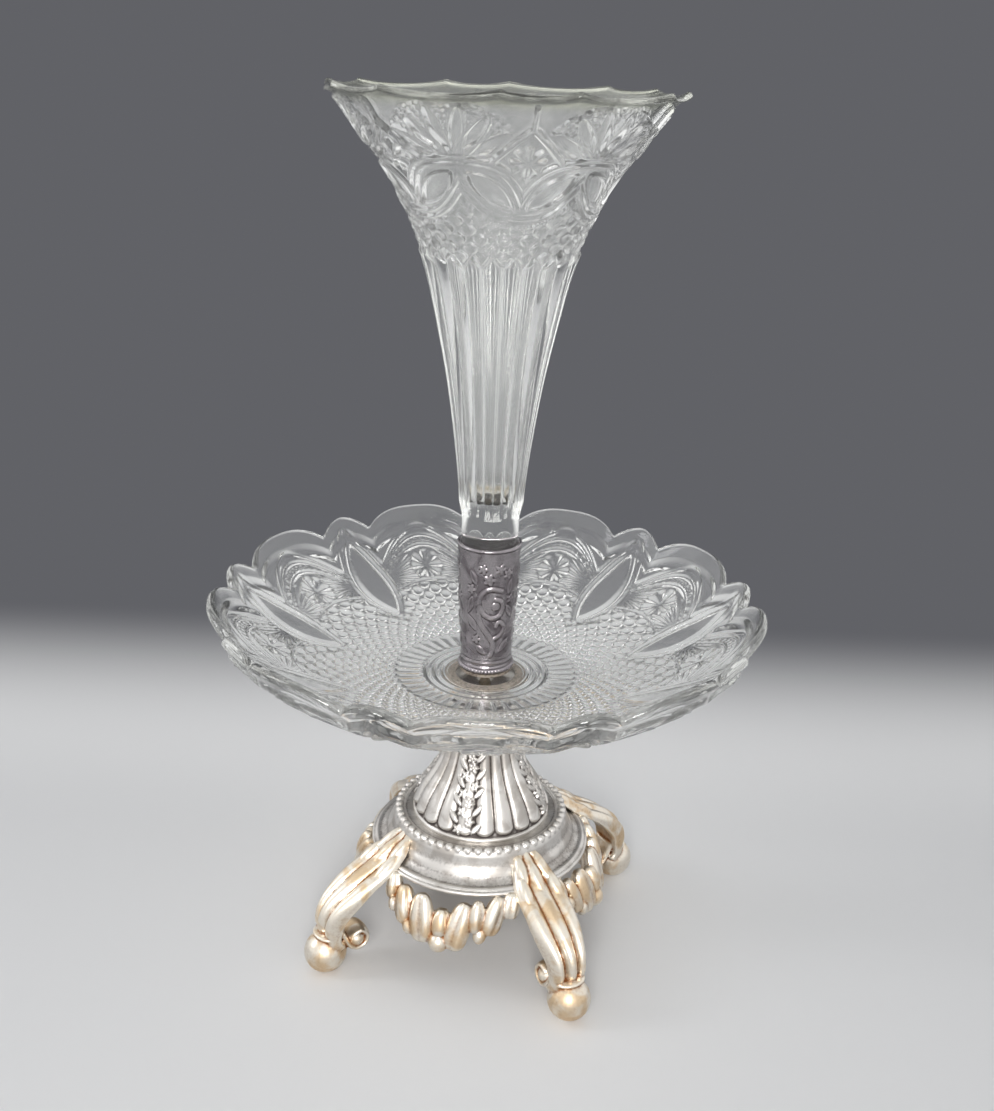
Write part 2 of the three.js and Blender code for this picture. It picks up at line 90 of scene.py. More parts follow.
def highest(*heights):
    """The greatest of several reliefs, each of its own shape, place by place."""
    top = heights[0]
    for height in heights[1:]:
        top = np.maximum(top, height)
    return top


def folded(angle, period):
    """Angle from the nearest of the lines that stand a period apart."""
    return angle - period * np.round(angle / period)


def zigzag(x):
    """0 at whole numbers, 1 halfway between."""
    return 1 - np.abs(2 * (x - np.floor(x)) - 1)


def studs(p, q, radius):
    """Round studs in staggered rows, one unit of p and of q from each to the next in its row and column."""
    u, w = folded(p + q, 1), folded(p - q, 1)
    return round_ridge(np.sqrt((u**2 + w**2) / 2), radius)


def spline(points, count):
    """Smooth line through the points, in count steps."""
    p = np.array(points, float)
    place = np.linspace(0, len(p) - 1, count)
    i = np.minimum(place.astype(int), len(p) - 2)
    t = (place - i).reshape(-1, 1)
    before, start, end, after = p[np.maximum(i - 1, 0)], p[i], p[i + 1], p[np.minimum(i + 2, len(p) - 1)]
    leave, arrive = (end - before) / 2, (after - start) / 2
    cubic = (2 * start - 2 * end + leave + arrive) * t**3
    square = (3 * end - 3 * start - 2 * leave - arrive) * t**2
    return cubic + square + leave * t + start


def flared(shares, start, end, count):
    """Smooth line through shares of the way from the start to the end, in radius and in height."""
    return spline(np.array(start) + np.array(shares) * np.subtract(end, start), count)


def polar(x, y):
    """Distance from the origin, and bearing in degrees from y towards x."""
    return np.hypot(x, y), np.degrees(np.arctan2(x, y))


def lengths(line):
    """Distance along the line, from its start to each point."""
    steps = np.linalg.norm(np.diff(line, axis=0), axis=1)
    return np.concatenate([[0], np.cumsum(steps)])


def at_lengths(line, wanted):
    """Points of the line at the wanted distances from its start."""
    along = lengths(line)
    return np.column_stack([np.interp(wanted, along, line[:, k]) for k in range(line.shape[1])])


def even(line, step):
    """The same line with points about a step apart."""
    total = lengths(line)[-1]
    return at_lengths(line, np.linspace(0, total, max(2, round(total / step) + 1)))


def arc(centre, radius, start, end, count):
    """Points of a circle in the radius-height plane, angles in degrees from +radius towards +height."""
    a = np.radians(np.linspace(start, end, count))
    return np.column_stack([centre[0] + radius * np.cos(a), centre[1] + radius * np.sin(a)])


def headings(line):
    """Directions of unit length along a line."""
    along = np.gradient(line, axis=0)
    return along / (np.linalg.norm(along, axis=1, keepdims=True) + 1e-12)


def outward(line):
    """Normals on the right-hand side of a line of (radius, height): outside where it runs up."""
    along = headings(line)
    return np.column_stack([along[:, 1], -along[:, 0]])


def rounded_end(start, end, count, bulge):
    """Points between the ends of two walls, on an arc that bulges to the right of the way over."""
    half = (end - start) / 2
    over = np.array([half[1], -half[0]])
    bend = np.linspace(0, math.pi, count)[1:-1].reshape(-1, 1)
    return (start + end) / 2 - half * np.cos(bend) + over * np.sin(bend) * bulge


def rows_between(total, first, count):
    """A column of flags that is true for so many rows from the first."""
    row = np.arange(total).reshape(-1, 1)
    return (row >= first) & (row < first + count)


# Meshes

def in_scene(name, data):
    """A new object in the scene."""
    thing = bpy.data.objects.new(name, data)
    bpy.context.scene.collection.objects.link(thing)
    return thing


def mesh_of(name, vertices, faces):
    """A mesh in metres, from points in millimetres."""
    mesh = bpy.data.meshes.new(name)
    mesh.from_pydata((np.asarray(vertices) * MM).tolist(), [], faces)
    mesh.update()
    mesh.shade_smooth()
    return mesh


def bands(rows, columns):
    """Faces between the rows of a grid, the last row's leading back to the first; columns close round."""
    here = np.arange(rows * columns).reshape(rows, columns)
    beside = np.roll(here, -1, axis=1)
    return np.stack([here, beside, np.roll(beside, -1, axis=0), np.roll(here, -1, axis=0)], axis=-1)


def capped(grid):
    """Points and faces over grid[row, column], whose columns close round and whose rows end on poles."""
    rows, columns = grid.shape[:2]
    points = np.vstack([grid.reshape(-1, 3), grid[0].mean(axis=0), grid[-1].mean(axis=0)])
    faces = bands(rows, columns)
    quads = faces[:-1].reshape(-1, 4).tolist()
    for row, pole, (a, b) in ((0, len(points) - 2, (1, 0)), (-1, len(points) - 1, (0, 1))):
        quads += [(face[a], face[b], pole) for face in faces[row].tolist()]
    return points, quads


def skin(name, grid, poles=False):
    """A closed mesh over points[row, column], whose rows close round too, or end on poles."""
    if poles:
        return mesh_of(name, *capped(grid))
    return mesh_of(name, grid.reshape(-1, 3), bands(*grid.shape[:2]).reshape(-1, 4).tolist())


def turned(outline, columns, relief=None, ways=None):
    """Points[row, column] of an outline of (radius, height) turned about the axis.

    relief(angle) gives how far each point stands out from the outline, as a grid of the outline's rows by the
    directions in angle, or with ways a pair of that and of how far it slides the way of its row."""
    angle = np.arange(columns).reshape(1, -1) * 360 / columns
    line = np.asarray(outline, float)
    out = outward(line)
    radius = np.repeat(line[:, :1], columns, axis=1)
    height = np.repeat(line[:, 1:], columns, axis=1)
    if relief:
        moved = relief(angle)
        proud, slid = (moved, 0) if ways is None else moved
        radius = radius + proud * out[:, :1]
        height = height + proud * out[:, 1:]
        if ways is not None:
            radius = radius + slid * ways[:, :1]
            height = height + slid * ways[:, 1:]
    turn = np.radians(angle)
    return np.stack([radius * np.sin(turn), -radius * np.cos(turn), height], axis=-1)


def stored(mesh, name, values):
    """The mesh with a value kept at each vertex."""
    layer = mesh.attributes.new(name, "FLOAT", "POINT")
    layer.data.foreach_set("value", values.astype(np.float32))
    return mesh


def mark_hollows(mesh, passes, depth):
    """Stores how deep each vertex lies, from 0 on a raised place to 1 in a hollow, for the tarnish and for
    the painted highlight on raised places.
    """
    count = len(mesh.vertices)
    start = np.empty(count * 3)
    mesh.vertices.foreach_get("co", start)
    start = start.reshape(-1, 3)
    normal = np.empty(count * 3)
    mesh.vertices.foreach_get("normal", normal)
    ends = np.empty(len(mesh.edges) * 2, np.int32)
    mesh.edges.foreach_get("vertices", ends)
    a, b = ends.reshape(-1, 2).T
    neighbours = np.maximum(np.bincount(a, minlength=count) + np.bincount(b, minlength=count), 1)
    soft = start.copy()
    for _ in range(passes):
        total = np.column_stack([
            np.bincount(a, soft[b, k], count) + np.bincount(b, soft[a, k], count) for k in range(3)
        ])
        soft = (soft + total / neighbours.reshape(-1, 1)) / 2
    sunk = ((soft - start) * normal.reshape(-1, 3)).sum(axis=1) / (depth * MM)
    return stored(mesh, "hollow", 0.5 + 0.5 * np.clip(sunk, -1, 1))


def mark_pressed(mesh, rows, columns):
    """Stores how matt each row is, from 1 where the mould pressed it to 0 where it is polished."""
    value = np.zeros(len(mesh.vertices))
    value[:len(rows) * columns] = np.repeat(rows, columns)
    return stored(mesh, "pressed", value)


def show(name, mesh, material, slot, body, *nodes):
    """Puts a piece in the scene, on its body, in place of the CAD nodes that it stands for."""
    mesh.materials.append(material)
    piece = in_scene(name, mesh)
    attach(piece, body)
    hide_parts(*nodes)
    return piece


# Materials

GLASS_TINT = (0.985, 0.99, 0.98)
GLASS_DEPTH_COLOUR = (0.84, 0.88, 0.78, 1)  # of light that has gone far through the glass
RIM_TINT = (0.96, 0.98, 0.84)
WATER_STAIN = (0.36, 0.25, 0.1)


class Nodes:
    """Short ways to add nodes to the tree of a material or a world."""

    def __init__(self, owner):
        owner.use_nodes = True
        self.tree = owner.node_tree

    def give(self, node, key, value):
        """Sets an input of a node to a number or colour, or links a socket to it."""
        if isinstance(value, bpy.types.NodeSocket):
            self.tree.links.new(value, node.inputs[key])
        else:
            node.inputs[key].default_value = value

    def add(self, kind, inputs=(), **settings):
        """A new node, with its inputs given by name or by number."""
        node = self.tree.nodes.new(kind)
        for key, value in settings.items():
            setattr(node, key, value)
        for key, value in dict(inputs).items():
            self.give(node, key, value)
        return node

    def spread(self, value, from_low, from_high, to_low=0, to_high=1):
        """The value moved from one range to another, clamped."""
        ranges = {"From Min": from_low, "From Max": from_high, "To Min": to_low, "To Max": to_high}
        node = self.add("ShaderNodeMapRange", {"Value": value, **ranges}, interpolation_type="SMOOTHSTEP")
        return node.outputs["Result"]

    def maths(self, operation, *values, clamp=True):
        node = self.add("ShaderNodeMath", enumerate(values), operation=operation, use_clamp=clamp)
        return node.outputs["Value"]

    def vector(self, operation, *values):
        """The outputs of a sum with one or two vectors."""
        return self.add("ShaderNodeVectorMath", enumerate(values), operation=operation).outputs

    def mix(self, factor, a, b):
        """A colour between two, each of them a socket or its red, green and blue."""
        node = self.add("ShaderNodeMix", {"Factor": factor}, data_type="RGBA")
        colours = [i for i, slot in enumerate(node.inputs) if slot.type == "RGBA"]
        for i, value in zip(colours, (a, b)):
            self.give(node, i, (*value, 1) if isinstance(value, tuple) else value)
        return [slot for slot in node.outputs if slot.type == "RGBA"][0]

    def blend(self, factor, first, second):
        """The first shader, and more of the second the nearer the factor is to 1."""
        return self.add("ShaderNodeMixShader", {0: factor, 1: first, 2: second}).outputs[0]

    def by_ray(self, seen, lit):
        """The seen shader for camera, glossy and transmission rays, and the lit one for the rest."""
        path = self.add("ShaderNodeLightPath").outputs
        either = self.maths("ADD", path["Is Camera Ray"], path["Is Glossy Ray"])
        return self.blend(self.maths("ADD", either, path["Is Transmission Ray"]), lit, seen)


class Look(Nodes):
    """A material, with short ways to add the nodes that the looks share."""

    def __init__(self, name):
        self.material = bpy.data.materials.new(name)
        super().__init__(self.material)
        self.shader = self.tree.nodes["Principled BSDF"]
        self.output = self.tree.nodes["Material Output"]
        self.place = self.add("ShaderNodeTexCoord").outputs["Object"]

    def set(self, name, value):
        self.give(self.shader, name, value)

    def noise(self, size_mm, detail=4.0, distortion=0.0):
        pattern = {"Scale": 1 / (size_mm * MM), "Detail": detail, "Distortion": distortion}
        return self.add("ShaderNodeTexNoise", {"Vector": self.place, **pattern}).outputs["Fac"]

    def bump(self, height, depth_mm, strength):
        node = self.add("ShaderNodeBump", {"Height": height, "Distance": depth_mm * MM, "Strength": strength})
        self.set("Normal", node.outputs["Normal"])

    def attribute(self, name):
        return self.add("ShaderNodeAttribute", attribute_name=name).outputs["Fac"]


def plated_metal(name, bright, worn, tarnish, shine, tarnish_reach):
    """Silver plate: a painted highlight that lightens what stands proud, worn patches between, and tarnish in
    the hollows.
    """
    n = Look(name)
    hollow = n.attribute("hollow")
    patches = n.noise(9, 5, 0.6)
    specks = n.noise(1.1, 3)
    base = n.mix(n.spread(patches, 0.42, 0.62), bright, worn)
    # Painted highlight: what stands proud is mixed up to 70% of the way towards a colour 12% lighter than the
    # bright plate.
    edge = n.spread(hollow, 0.18, 0.42, 1, 0)
    base = n.mix(n.maths("MULTIPLY", edge, 0.7), base, tuple(min(1, c * 1.12) for c in bright))
    uneven = n.maths("ADD", hollow, n.spread(specks, 0.3, 0.75, -0.06, 0.06))
    deep = n.spread(uneven, tarnish_reach, 0.86)
    n.set("Base Color", n.mix(deep, base, tarnish))
    dull = n.spread(patches, 0.35, 0.7, shine, shine + 0.14)
    n.set("Roughness", n.maths("ADD", dull, n.spread(deep, 0, 1, 0, 0.25)))
    n.set("Metallic", 1.0)
    n.bump(n.noise(0.9), 0.05, 0.5)
    return n.material


def pressed_glass(name, grain, stained):
    """Clear glass with faint ripples and a grain where pressed, and in a vase an old water line."""
    n = Look(name)
    if stained:
        height = n.vector("DOT_PRODUCT", n.place, (0, 0, 1))["Value"]
        low = n.spread(height, (CUP_FLOOR_Z - 0.6) * MM, (CUP_FLOOR_Z + 0.6) * MM)
        high = n.spread(height, (CUP_FLOOR_Z + 2.5) * MM, (CUP_FLOOR_Z + 5) * MM, 1, 0)
        radius = n.vector("LENGTH", n.vector("MULTIPLY", n.place, (1, 1, 0))["Vector"])["Value"]
        inside = n.spread(radius, (CUP_R + 0.4) * MM, (CUP_R + 1.6) * MM, 1, 0)
        ring = n.maths("MULTIPLY", n.maths("MULTIPLY", low, high), inside)
        patchy = n.maths("MULTIPLY", ring, n.spread(n.noise(3), 0.3, 0.6, 0.35, 1))
        edge = n.spread(height, (RIM_Z - 5) * MM, RIM_Z * MM)
        rimmed = n.mix(edge, GLASS_TINT, RIM_TINT)
        n.set("Base Color", n.mix(patchy, rimmed, WATER_STAIN))
    else:
        n.set("Base Color", (*GLASS_TINT, 1))
    n.set("Transmission Weight", 0.985)
    n.set("IOR", 1.5)
    n.set("Metallic", 0.0)
    polish = n.spread(n.noise(14), 0.45, 0.75, 0.015, 0.07)
    matt = n.maths("MULTIPLY", n.attribute("pressed"), grain)
    n.set("Roughness", n.maths("ADD", polish, matt))
    n.bump(n.noise(5, 2, 0.3), 0.12, 0.35)
    absorb = n.add("ShaderNodeVolumeAbsorption", {"Color": GLASS_DEPTH_COLOUR, "Density": 4.0})
    n.give(n.output, "Volume", absorb.outputs["Volume"])
    return n.material


def old_brass():
    n = Look("old_brass")
    patches = n.noise(6, 5, 0.4)
    n.set("Base Color", n.mix(n.spread(patches, 0.38, 0.64), (0.5, 0.34, 0.13), (0.2, 0.13, 0.06)))
    n.set("Roughness", n.spread(patches, 0.35, 0.7, 0.32, 0.6))
    n.set("Metallic", 1.0)
    n.bump(n.noise(0.8), 0.06, 0.6)
    return n.material


def cork():
    n = Look("cork")
    cells = n.add("ShaderNodeTexVoronoi", {"Vector": n.place, "Scale": 1 / (1.3 * MM)})
    grain = n.spread(cells.outputs["Distance"], 0.1, 0.7)
    n.set("Base Color", n.mix(grain, (0.1, 0.078, 0.06), (0.3, 0.255, 0.21)))
    n.set("Roughness", 0.9)
    n.bump(grain, 0.15, 0.7)
    return n.material


# Ornament, as heights from 0 to 1 over a plane with x across and y along, both in millimetres

def along_across(x, y, centre_x, centre_y, lean):
    """Places along and across an axis that leans by so many degrees from y towards x."""
    c, s = math.cos(math.radians(lean)), math.sin(math.radians(lean))
    dx, dy = x - centre_x, y - centre_y
    return dx * s + dy * c, dx * c - dy * s


def leaf(x, y, centre_x, centre_y, lean, length, width):
    """A pointed leaf with a vein."""
    along, across = along_across(x, y, centre_x, centre_y, lean)
    half = width / 2 * np.clip(1 - (2 * along / length) ** 2, 1e-3, None)
    return round_ridge(across, half) * (1 - 0.4 * sharp_ridge(across, width / 7)) * (half > width / 50)


def blossom(x, y, centre_x, centre_y, radius, petals=5):
    """An open flower with a button in the middle."""
    dx, dy = x - centre_x, y - centre_y
    distance = np.hypot(dx, dy)
    lobed = radius * (0.78 + 0.22 * np.cos(petals * np.arctan2(dy, dx)))
    cup = round_ridge(distance, lobed) * (0.55 + 0.45 * smooth(distance, radius * 0.2, radius * 0.55))
    return np.maximum(cup, round_ridge(distance, radius * 0.3))


def stroke(x, y, points, half_width):
    """A rounded ridge along a smooth line through the points."""
    nearest = np.full(np.broadcast(x, y).shape, np.inf)
    for px, py in spline(points, 12 * len(points)):
        nearest = np.minimum(nearest, (x - px) ** 2 + (y - py) ** 2)
    return soft_ridge(np.sqrt(nearest), half_width)


def berry(x, y, centre_x, centre_y, radius):
    return round_ridge(np.hypot(x - centre_x, y - centre_y), radius)


def lens(x, y, centre_x, centre_y, lean, length, width, rim):
    """The raised rim of a pointed oval, and where its inside is."""
    along, across = along_across(x, y, centre_x, centre_y, lean)
    half = width / 2 * (1 - (2 * along / length) ** 2)
    edge = soft_ridge(np.abs(across) - half, rim) * (np.abs(along) < length / 2)
    return edge, np.abs(across) < half


# Trumpet vase

plug_low, _ = box_mm("trumpet_vase")
sleeve_low, sleeve_high = box_mm("vase_sleeve")
SLEEVE_WALL = 1.2
PLUG_CLEARANCE = 0.35
PLUG_SHOWING = 13.5
VASE_FOOT_R = 12.2
VASE_RIM_R = 66
VASE_HEIGHT = 157.5
VASE_WALL_FOOT = 4.2
VASE_WALL_RIM = 2.8
VASE_FLARE = [(0, 0), (0.027, 0.126), (0.098, 0.32), (0.19, 0.49), (0.3, 0.635), (0.515, 0.8), (0.718, 0.893),
              (0.909, 0.978), (1, 1)]
VASE_TURN = -6  # direction of one fan
VASE_PERIOD = 60
FLUTES = 24
FLUTE_DEPTH = 2.0
FLUTE_TOP_Z = 297.5
STUD_PITCH = 7.2  # from one row of studs to the next but one
STUD_HEIGHT = 1.4
LOWER_RIBBON_Z = 313  # in the middle under an oval pair
LOWER_RIBBON_RISE = 12
UPPER_RIBBON_DROP = 10.6
RIBBON_HALF = 1.15  # from the middle of a ribbon to each of its two ridges
BEAD_PITCH = 2.1
OVAL_Z, OVAL_R, OVAL_DEG = 322.6, 41, 14
FAN_Z = 332.4  # where the petals start, on the upper ribbon
KITE_SIDE_Z, KITE_TOP_Z, STAR_Z = 332.9, 344, 333
KITE_HALF_DEG = 14
MOUTH_Z = sleeve_high[2]
FOOT_Z = MOUTH_Z + PLUG_SHOWING
RIM_Z = FOOT_Z + VASE_HEIGHT
CUP_R = VASE_FOOT_R - VASE_WALL_FOOT
CUP_FLOOR_Z = FOOT_Z + 4
VASE_STEP = 0.46  # between the rows of the mesh over the pattern

vase_line = flared(VASE_FLARE, (VASE_FOOT_R, FOOT_Z), (VASE_RIM_R, RIM_Z), 400)
vase_along = lengths(vase_line)


def vase_reach(z):
    """Distance along the outer line from the foot, at a height."""
    return np.interp(z, vase_line[:, 1], vase_along)


def swag(v, curve_v, slope):
    """Distance square to a curve, from how far above it a point is."""
    return (v - curve_v) / np.sqrt(1 + slope**2)


def vase_fan(x, height, above_ribbon):
    """Six long petals on a beaded ground, spread from the middle of the upper ribbon."""
    distance, bearing = polar(x, height)
    ground = np.zeros_like(x + height)
    for row in (0, 26, 49.5):
        for shift, start in ((0, 7), (-6, 18), (6, 18)):
            swing = np.radians(bearing - row - shift) * distance
            spot = np.hypot(swing, folded(distance - 1.2, 2.5))
            shown = (distance > start) & (distance < 26.5)
            ground = np.maximum(ground, 1.1 * soft_ridge(spot, 0.5 + 0.05 * distance) * shown)
    outlines = np.zeros_like(ground)
    in_petal = np.zeros(ground.shape, bool)
    for petal, reach in ((14, 24.5), (38, 24.5), (61, 25)):
        swing = np.abs(np.radians(bearing - petal) * distance)
        half = 2.7 * round_ridge(distance - (reach / 2 + 1.5), reach / 2 - 0.5)
        in_petal = in_petal | (swing < half)
        outlines = np.maximum(outlines, 1.5 * soft_ridge(swing - half, 1.25) * (half > 0.05))
    fan = np.where(in_petal, outlines, np.maximum(outlines, ground))
    return fan * smooth(above_ribbon, 1.4, 4.2)


def vase_upper(x, x_middle, per_degree, v, above_ribbon):
    """The band over the upper ribbon: fans, and between them kites with a star in each."""
    fan = vase_fan(x, v - vase_reach(FAN_Z), above_ribbon)
    kite_top, kite_side = vase_reach(KITE_TOP_Z), vase_reach(KITE_SIDE_Z)
    corner = KITE_HALF_DEG * per_degree
    inside = x_middle / corner + (v - kite_side) / (kite_top - kite_side)
    star_d, star_a = polar(x_middle, v - vase_reach(STAR_Z))
    star = 1.6 * sharp_ridge(folded(star_a, 45) / 22.5 * star_d * 0.39, 1.7) * (star_d < 6.6)
    above = above_ribbon > 1.9
    fan = np.where((inside < 1.3) & (v < kite_top + 2.5), 0, fan)
    fan = np.where((inside < 1) & (v > kite_side - 14) & above, star, fan)
    edge = 1.7 * soft_ridge((inside - 1) * 8.5, 1.7)
    kite = np.where(above & (v < kite_top + 0.5) & (x_middle < corner + 1), edge, 0)
    rib = np.where(above & (v >= kite_top), 1.9 * soft_ridge(x_middle, 1.3), 0)
    end_v = vase_along[-1]
    return highest(fan, kite, rib) * (1 - smooth(v, end_v - 4, end_v - 2.6))


def vase_relief(angle, v):
    """How far the pressed pattern stands out, for directions and distances along the outer line.

    x is the distance from the middle of a fan, and x_middle from the middle between two fans."""
    off = np.abs(folded(angle - VASE_TURN, VASE_PERIOD))
    middle = VASE_PERIOD / 2 - off
    per_degree = np.radians(1) * np.interp(v, vase_along, vase_line[:, 0])
    x = off * per_degree
    x_middle = middle * per_degree

    p = (angle - VASE_TURN) * FLUTES / 360
    base_v = vase_reach(FLUTE_TOP_Z)
    top_v = base_v + 2.2 * (1 - 4 * np.abs(folded(p, 1)))
    depth = np.minimum(0.36 * 360 / FLUTES * per_degree, FLUTE_DEPTH)
    flutes = depth * round_ridge(folded(p, 1), 0.5) * (1 - smooth(v, top_v - 1.6, top_v))
    q = (v - base_v - 0.9) / STUD_PITCH + 0.5
    lattice = STUD_HEIGHT * studs(p, q, 0.335) * smooth(v, top_v, top_v + 0.8)

    half_period = VASE_PERIOD / 2
    share = middle / half_period
    lower_slope = LOWER_RIBBON_RISE * 2.5 / half_period * share**1.5 * 1.25 / per_degree
    from_lower = swag(v, vase_reach(LOWER_RIBBON_Z + LOWER_RIBBON_RISE * share**2.5), lower_slope)
    share = off / half_period
    upper_slope = UPPER_RIBBON_DROP * 3.3 / half_period * share**2.3 * 1.4 / per_degree
    from_upper = swag(v, vase_reach(FAN_Z - UPPER_RIBBON_DROP * share**3.3), upper_slope)
    lower_ridges = soft_ridge(np.abs(from_lower) - RIBBON_HALF, 1.4)
    upper_ridges = soft_ridge(np.abs(from_upper) - RIBBON_HALF, 1.5)
    ribbons = highest(lower_ridges, upper_ridges) * (1 + 0.5 * smooth(off, 2, 9))
    run = x_middle * np.sqrt(1 + lower_slope**2)
    beads = 1.7 * soft_ridge(np.hypot(from_lower + 3.2, folded(run, BEAD_PITCH)), 1.2)

    oval_x = OVAL_DEG * np.radians(1) * OVAL_R
    edge, in_oval = lens(x, v, oval_x, vase_reach(OVAL_Z), 135, 20.5, 9.2, 1.2)
    between = (from_lower > 1.9) & (from_upper < -1.9)
    ovals = np.where(between, np.maximum(1.6 * edge, np.where(in_oval, -0.9, 0.25)), 0)
    upper = vase_upper(x, x_middle, per_degree, v, from_upper)
    lattice = np.where(from_lower < -3.2, lattice, 0)
    pattern = np.where(v < top_v, flutes, lattice)
    pattern = highest(pattern, ribbons * (v > top_v), beads * (v > top_v), ovals, upper)
    return np.where(ovals < 0, ovals, pattern)


def vase_scallop(angle):
    """How far the rim is pushed along the wall: not in the cusps, and down between them."""
    off = np.abs(folded(angle - VASE_TURN, VASE_PERIOD))
    wide_half = 18.5
    narrow_half = VASE_PERIOD / 2 - wide_half
    wide = 3.0 * ((off / wide_half) ** 2.4 - 1)
    narrow = 2.4 * (((VASE_PERIOD / 2 - off) / narrow_half) ** 2.4 - 1)
    return np.where(off < wide_half, wide, narrow)


def trumpet_vase():
    inner_top = sleeve_high[0] - SLEEVE_WALL - PLUG_CLEARANCE
    inner_bottom = inner_top - 2.5 * (MOUTH_Z - plug_low[2]) / (sleeve_high[2] - sleeve_low[2])
    plug = np.vstack([
        [[0.4, plug_low[2]], [inner_bottom * 0.6, plug_low[2]]],
        arc((inner_bottom - 1, plug_low[2] + 1), 1, -90, 0, 5),
        [[(inner_bottom + inner_top) / 2, (plug_low[2] + MOUTH_Z) / 2], [inner_top, MOUTH_Z],
         [inner_top + 0.05, FOOT_Z - 2.2], [inner_top + 0.5, FOOT_Z - 0.7]],
    ])
    total = vase_along[-1]
    fluted = np.linspace(0.15, vase_reach(FLUTE_TOP_Z) - 8, 26)
    patterned = np.arange(fluted[-1] + VASE_STEP, total, VASE_STEP)
    run = np.concatenate([fluted, patterned])
    outer = at_lengths(vase_line, run)
    wall = VASE_WALL_FOOT + (VASE_WALL_RIM - VASE_WALL_FOOT) * run / total
    inner_line = (outer - outward(outer) * wall.reshape(-1, 1))[::-1]
    lip = rounded_end(outer[-1], inner_line[0], 7, 0.9)
    inner = even(inner_line[inner_line[:, 1] > CUP_FLOOR_Z + 3], 6)
    cup = arc((CUP_R - 3, CUP_FLOOR_Z + 3), 3, 0, -90, 5)
    floor = np.array([[CUP_R * 0.4, CUP_FLOOR_Z], [0.4, CUP_FLOOR_Z]])
    outline = np.vstack([plug, outer, lip, inner, cup, floor])
    place = np.full((len(outline), 1), -1.0)
    place[len(plug):len(plug) + len(run), 0] = run
    pressed = place >= 0
    rim_share = np.clip((outline[:, 1:] - FAN_Z + 2.4) / (outline[:, 1].max() - FAN_Z + 2.4), 0, 1) ** 2

    def relief(angle):
        proud = (vase_relief(angle, np.maximum(place, 0)) - 0.6) * smooth(place, 0, 2.5)
        return np.where(pressed, proud, 0), vase_scallop(angle) * rim_share

    up_rim = headings(vase_line)[-1:]
    shell = skin("trumpet_vase_shell", turned(outline, VASE_COLUMNS, relief, up_rim), poles=True)
    above_flutes = smooth(place, vase_reach(FLUTE_TOP_Z) - 4, vase_reach(FLUTE_TOP_Z) + 2)
    return mark_pressed(shell, (pressed * (0.35 + 0.65 * above_flutes))[:, 0], VASE_COLUMNS)


# Glass dish

dish_low, _ = box_mm("glass_dish")
DISH_BORE_R = 4
DISH_FLOOR_R = 24
DISH_R = 110
DISH_DEPTH = 34.8
DISH_FLOOR = 5.4
DISH_RIM = 4
DISH_BOWL = [(0, 0), (0.18, 0.026), (0.377, 0.106), (0.576, 0.25), (0.744, 0.446), (0.855, 0.638),
             (0.934, 0.805), (1, 1)]
DISH_TURN = -6.5  # direction of one oval
DISH_PERIOD = 40
DISH_RINGS = (17.5, 20.9, 24.6)
HOBNAILS_ROUND = 108
HOBNAIL_FIELD_R = 80
STAR_R = 89.5


def dish_lobe(angle):
    """How far the rim drops along the wall: least over each oval and over each star, most in the notches."""
    off = np.abs(folded(angle - DISH_TURN, DISH_PERIOD))
    small_half = 6.8
    small = 1.2 + 7.6 * (off / small_half) ** 1.7
    wide = 8.8 * np.clip((DISH_PERIOD / 2 - off) / (DISH_PERIOD / 2 - small_half), 0, 1) ** 2.8
    return np.where(off < small_half, small, wide)


def dish_relief(angle, radius):
    """How far the pattern stands out under the dish."""
    off = np.abs(folded(angle - DISH_TURN, DISH_PERIOD))
    middle = DISH_PERIOD / 2 - off
    x = np.radians(off) * radius
    x_middle = np.radians(middle) * radius
    rings = 1.2 * highest(*(soft_ridge(radius - r, 1.6) for r in DISH_RINGS))
    tongue = round_ridge(folded(angle / 8, 1), 0.48)
    tongue = tongue * smooth(radius, 26.5, 28.5) * (1 - smooth(radius, 36.5, 39))
    p = (angle - DISH_TURN) * HOBNAILS_ROUND / 360
    q = np.log(radius) * HOBNAILS_ROUND / (2 * math.pi)
    hobnails = 1.9 * studs(p / 2, q / 2, 0.33) * smooth(radius, 38.5, 40.5)
    edge_r = HOBNAIL_FIELD_R - 0.012 * x_middle**2
    hobnails = np.where(radius < edge_r, hobnails, 0)
    hem = 1.3 * soft_ridge(radius - edge_r - 1.0, 1.3)

    star_d, star_a = polar(x_middle, radius - STAR_R)
    star = 2.1 * sharp_ridge(np.radians(folded(star_a, 45)) * star_d, 2.2) * (1 - smooth(star_d, 7, 8))
    rays_d, rays_a = polar(21 - x_middle, radius - 85)
    rays = 1.5 * soft_ridge(np.radians(folded(rays_a, 12)) * rays_d, 1.25) * (star_d > 8.2) * (rays_d > 2.5)
    inner_arch = 99.6 - 0.029 * x_middle**2
    panel = np.where((radius > edge_r + 2.2) & (radius < inner_arch - 1.2), np.maximum(star, rays), 0)
    arches = highest(*(
        proud * soft_ridge(radius - inner_arch - rise * (1 - 0.0006 * x_middle**2), half_width)
        for rise, half_width, proud in ((0, 1.4, 1.9), (4.4, 1.5, 2.0), (7.9, 1.9, 2.0))
    ))
    beads = 1.6 * soft_ridge(np.hypot(radius - inner_arch - 2.2, folded(x_middle, 2.7)), 1.5)

    edge, in_oval = lens(x, radius, 0, 84, 0, 44, 15.6, 1.8)
    outer_edge, in_border = lens(x, radius, 0, 85.5, 0, 52, 21.5, 1.4)
    field = highest(rings, 1.2 * tongue, hobnails, panel, arches, beads, hem)
    field = highest(np.where(in_border, 0, field), 1.8 * outer_edge)
    scoop = -1.3 * np.clip(1 - (x / 7.8) ** 2 - ((radius - 84) / 22) ** 2, 0, 1)
    return np.maximum(np.where(in_oval, scoop, field), 2.2 * edge)


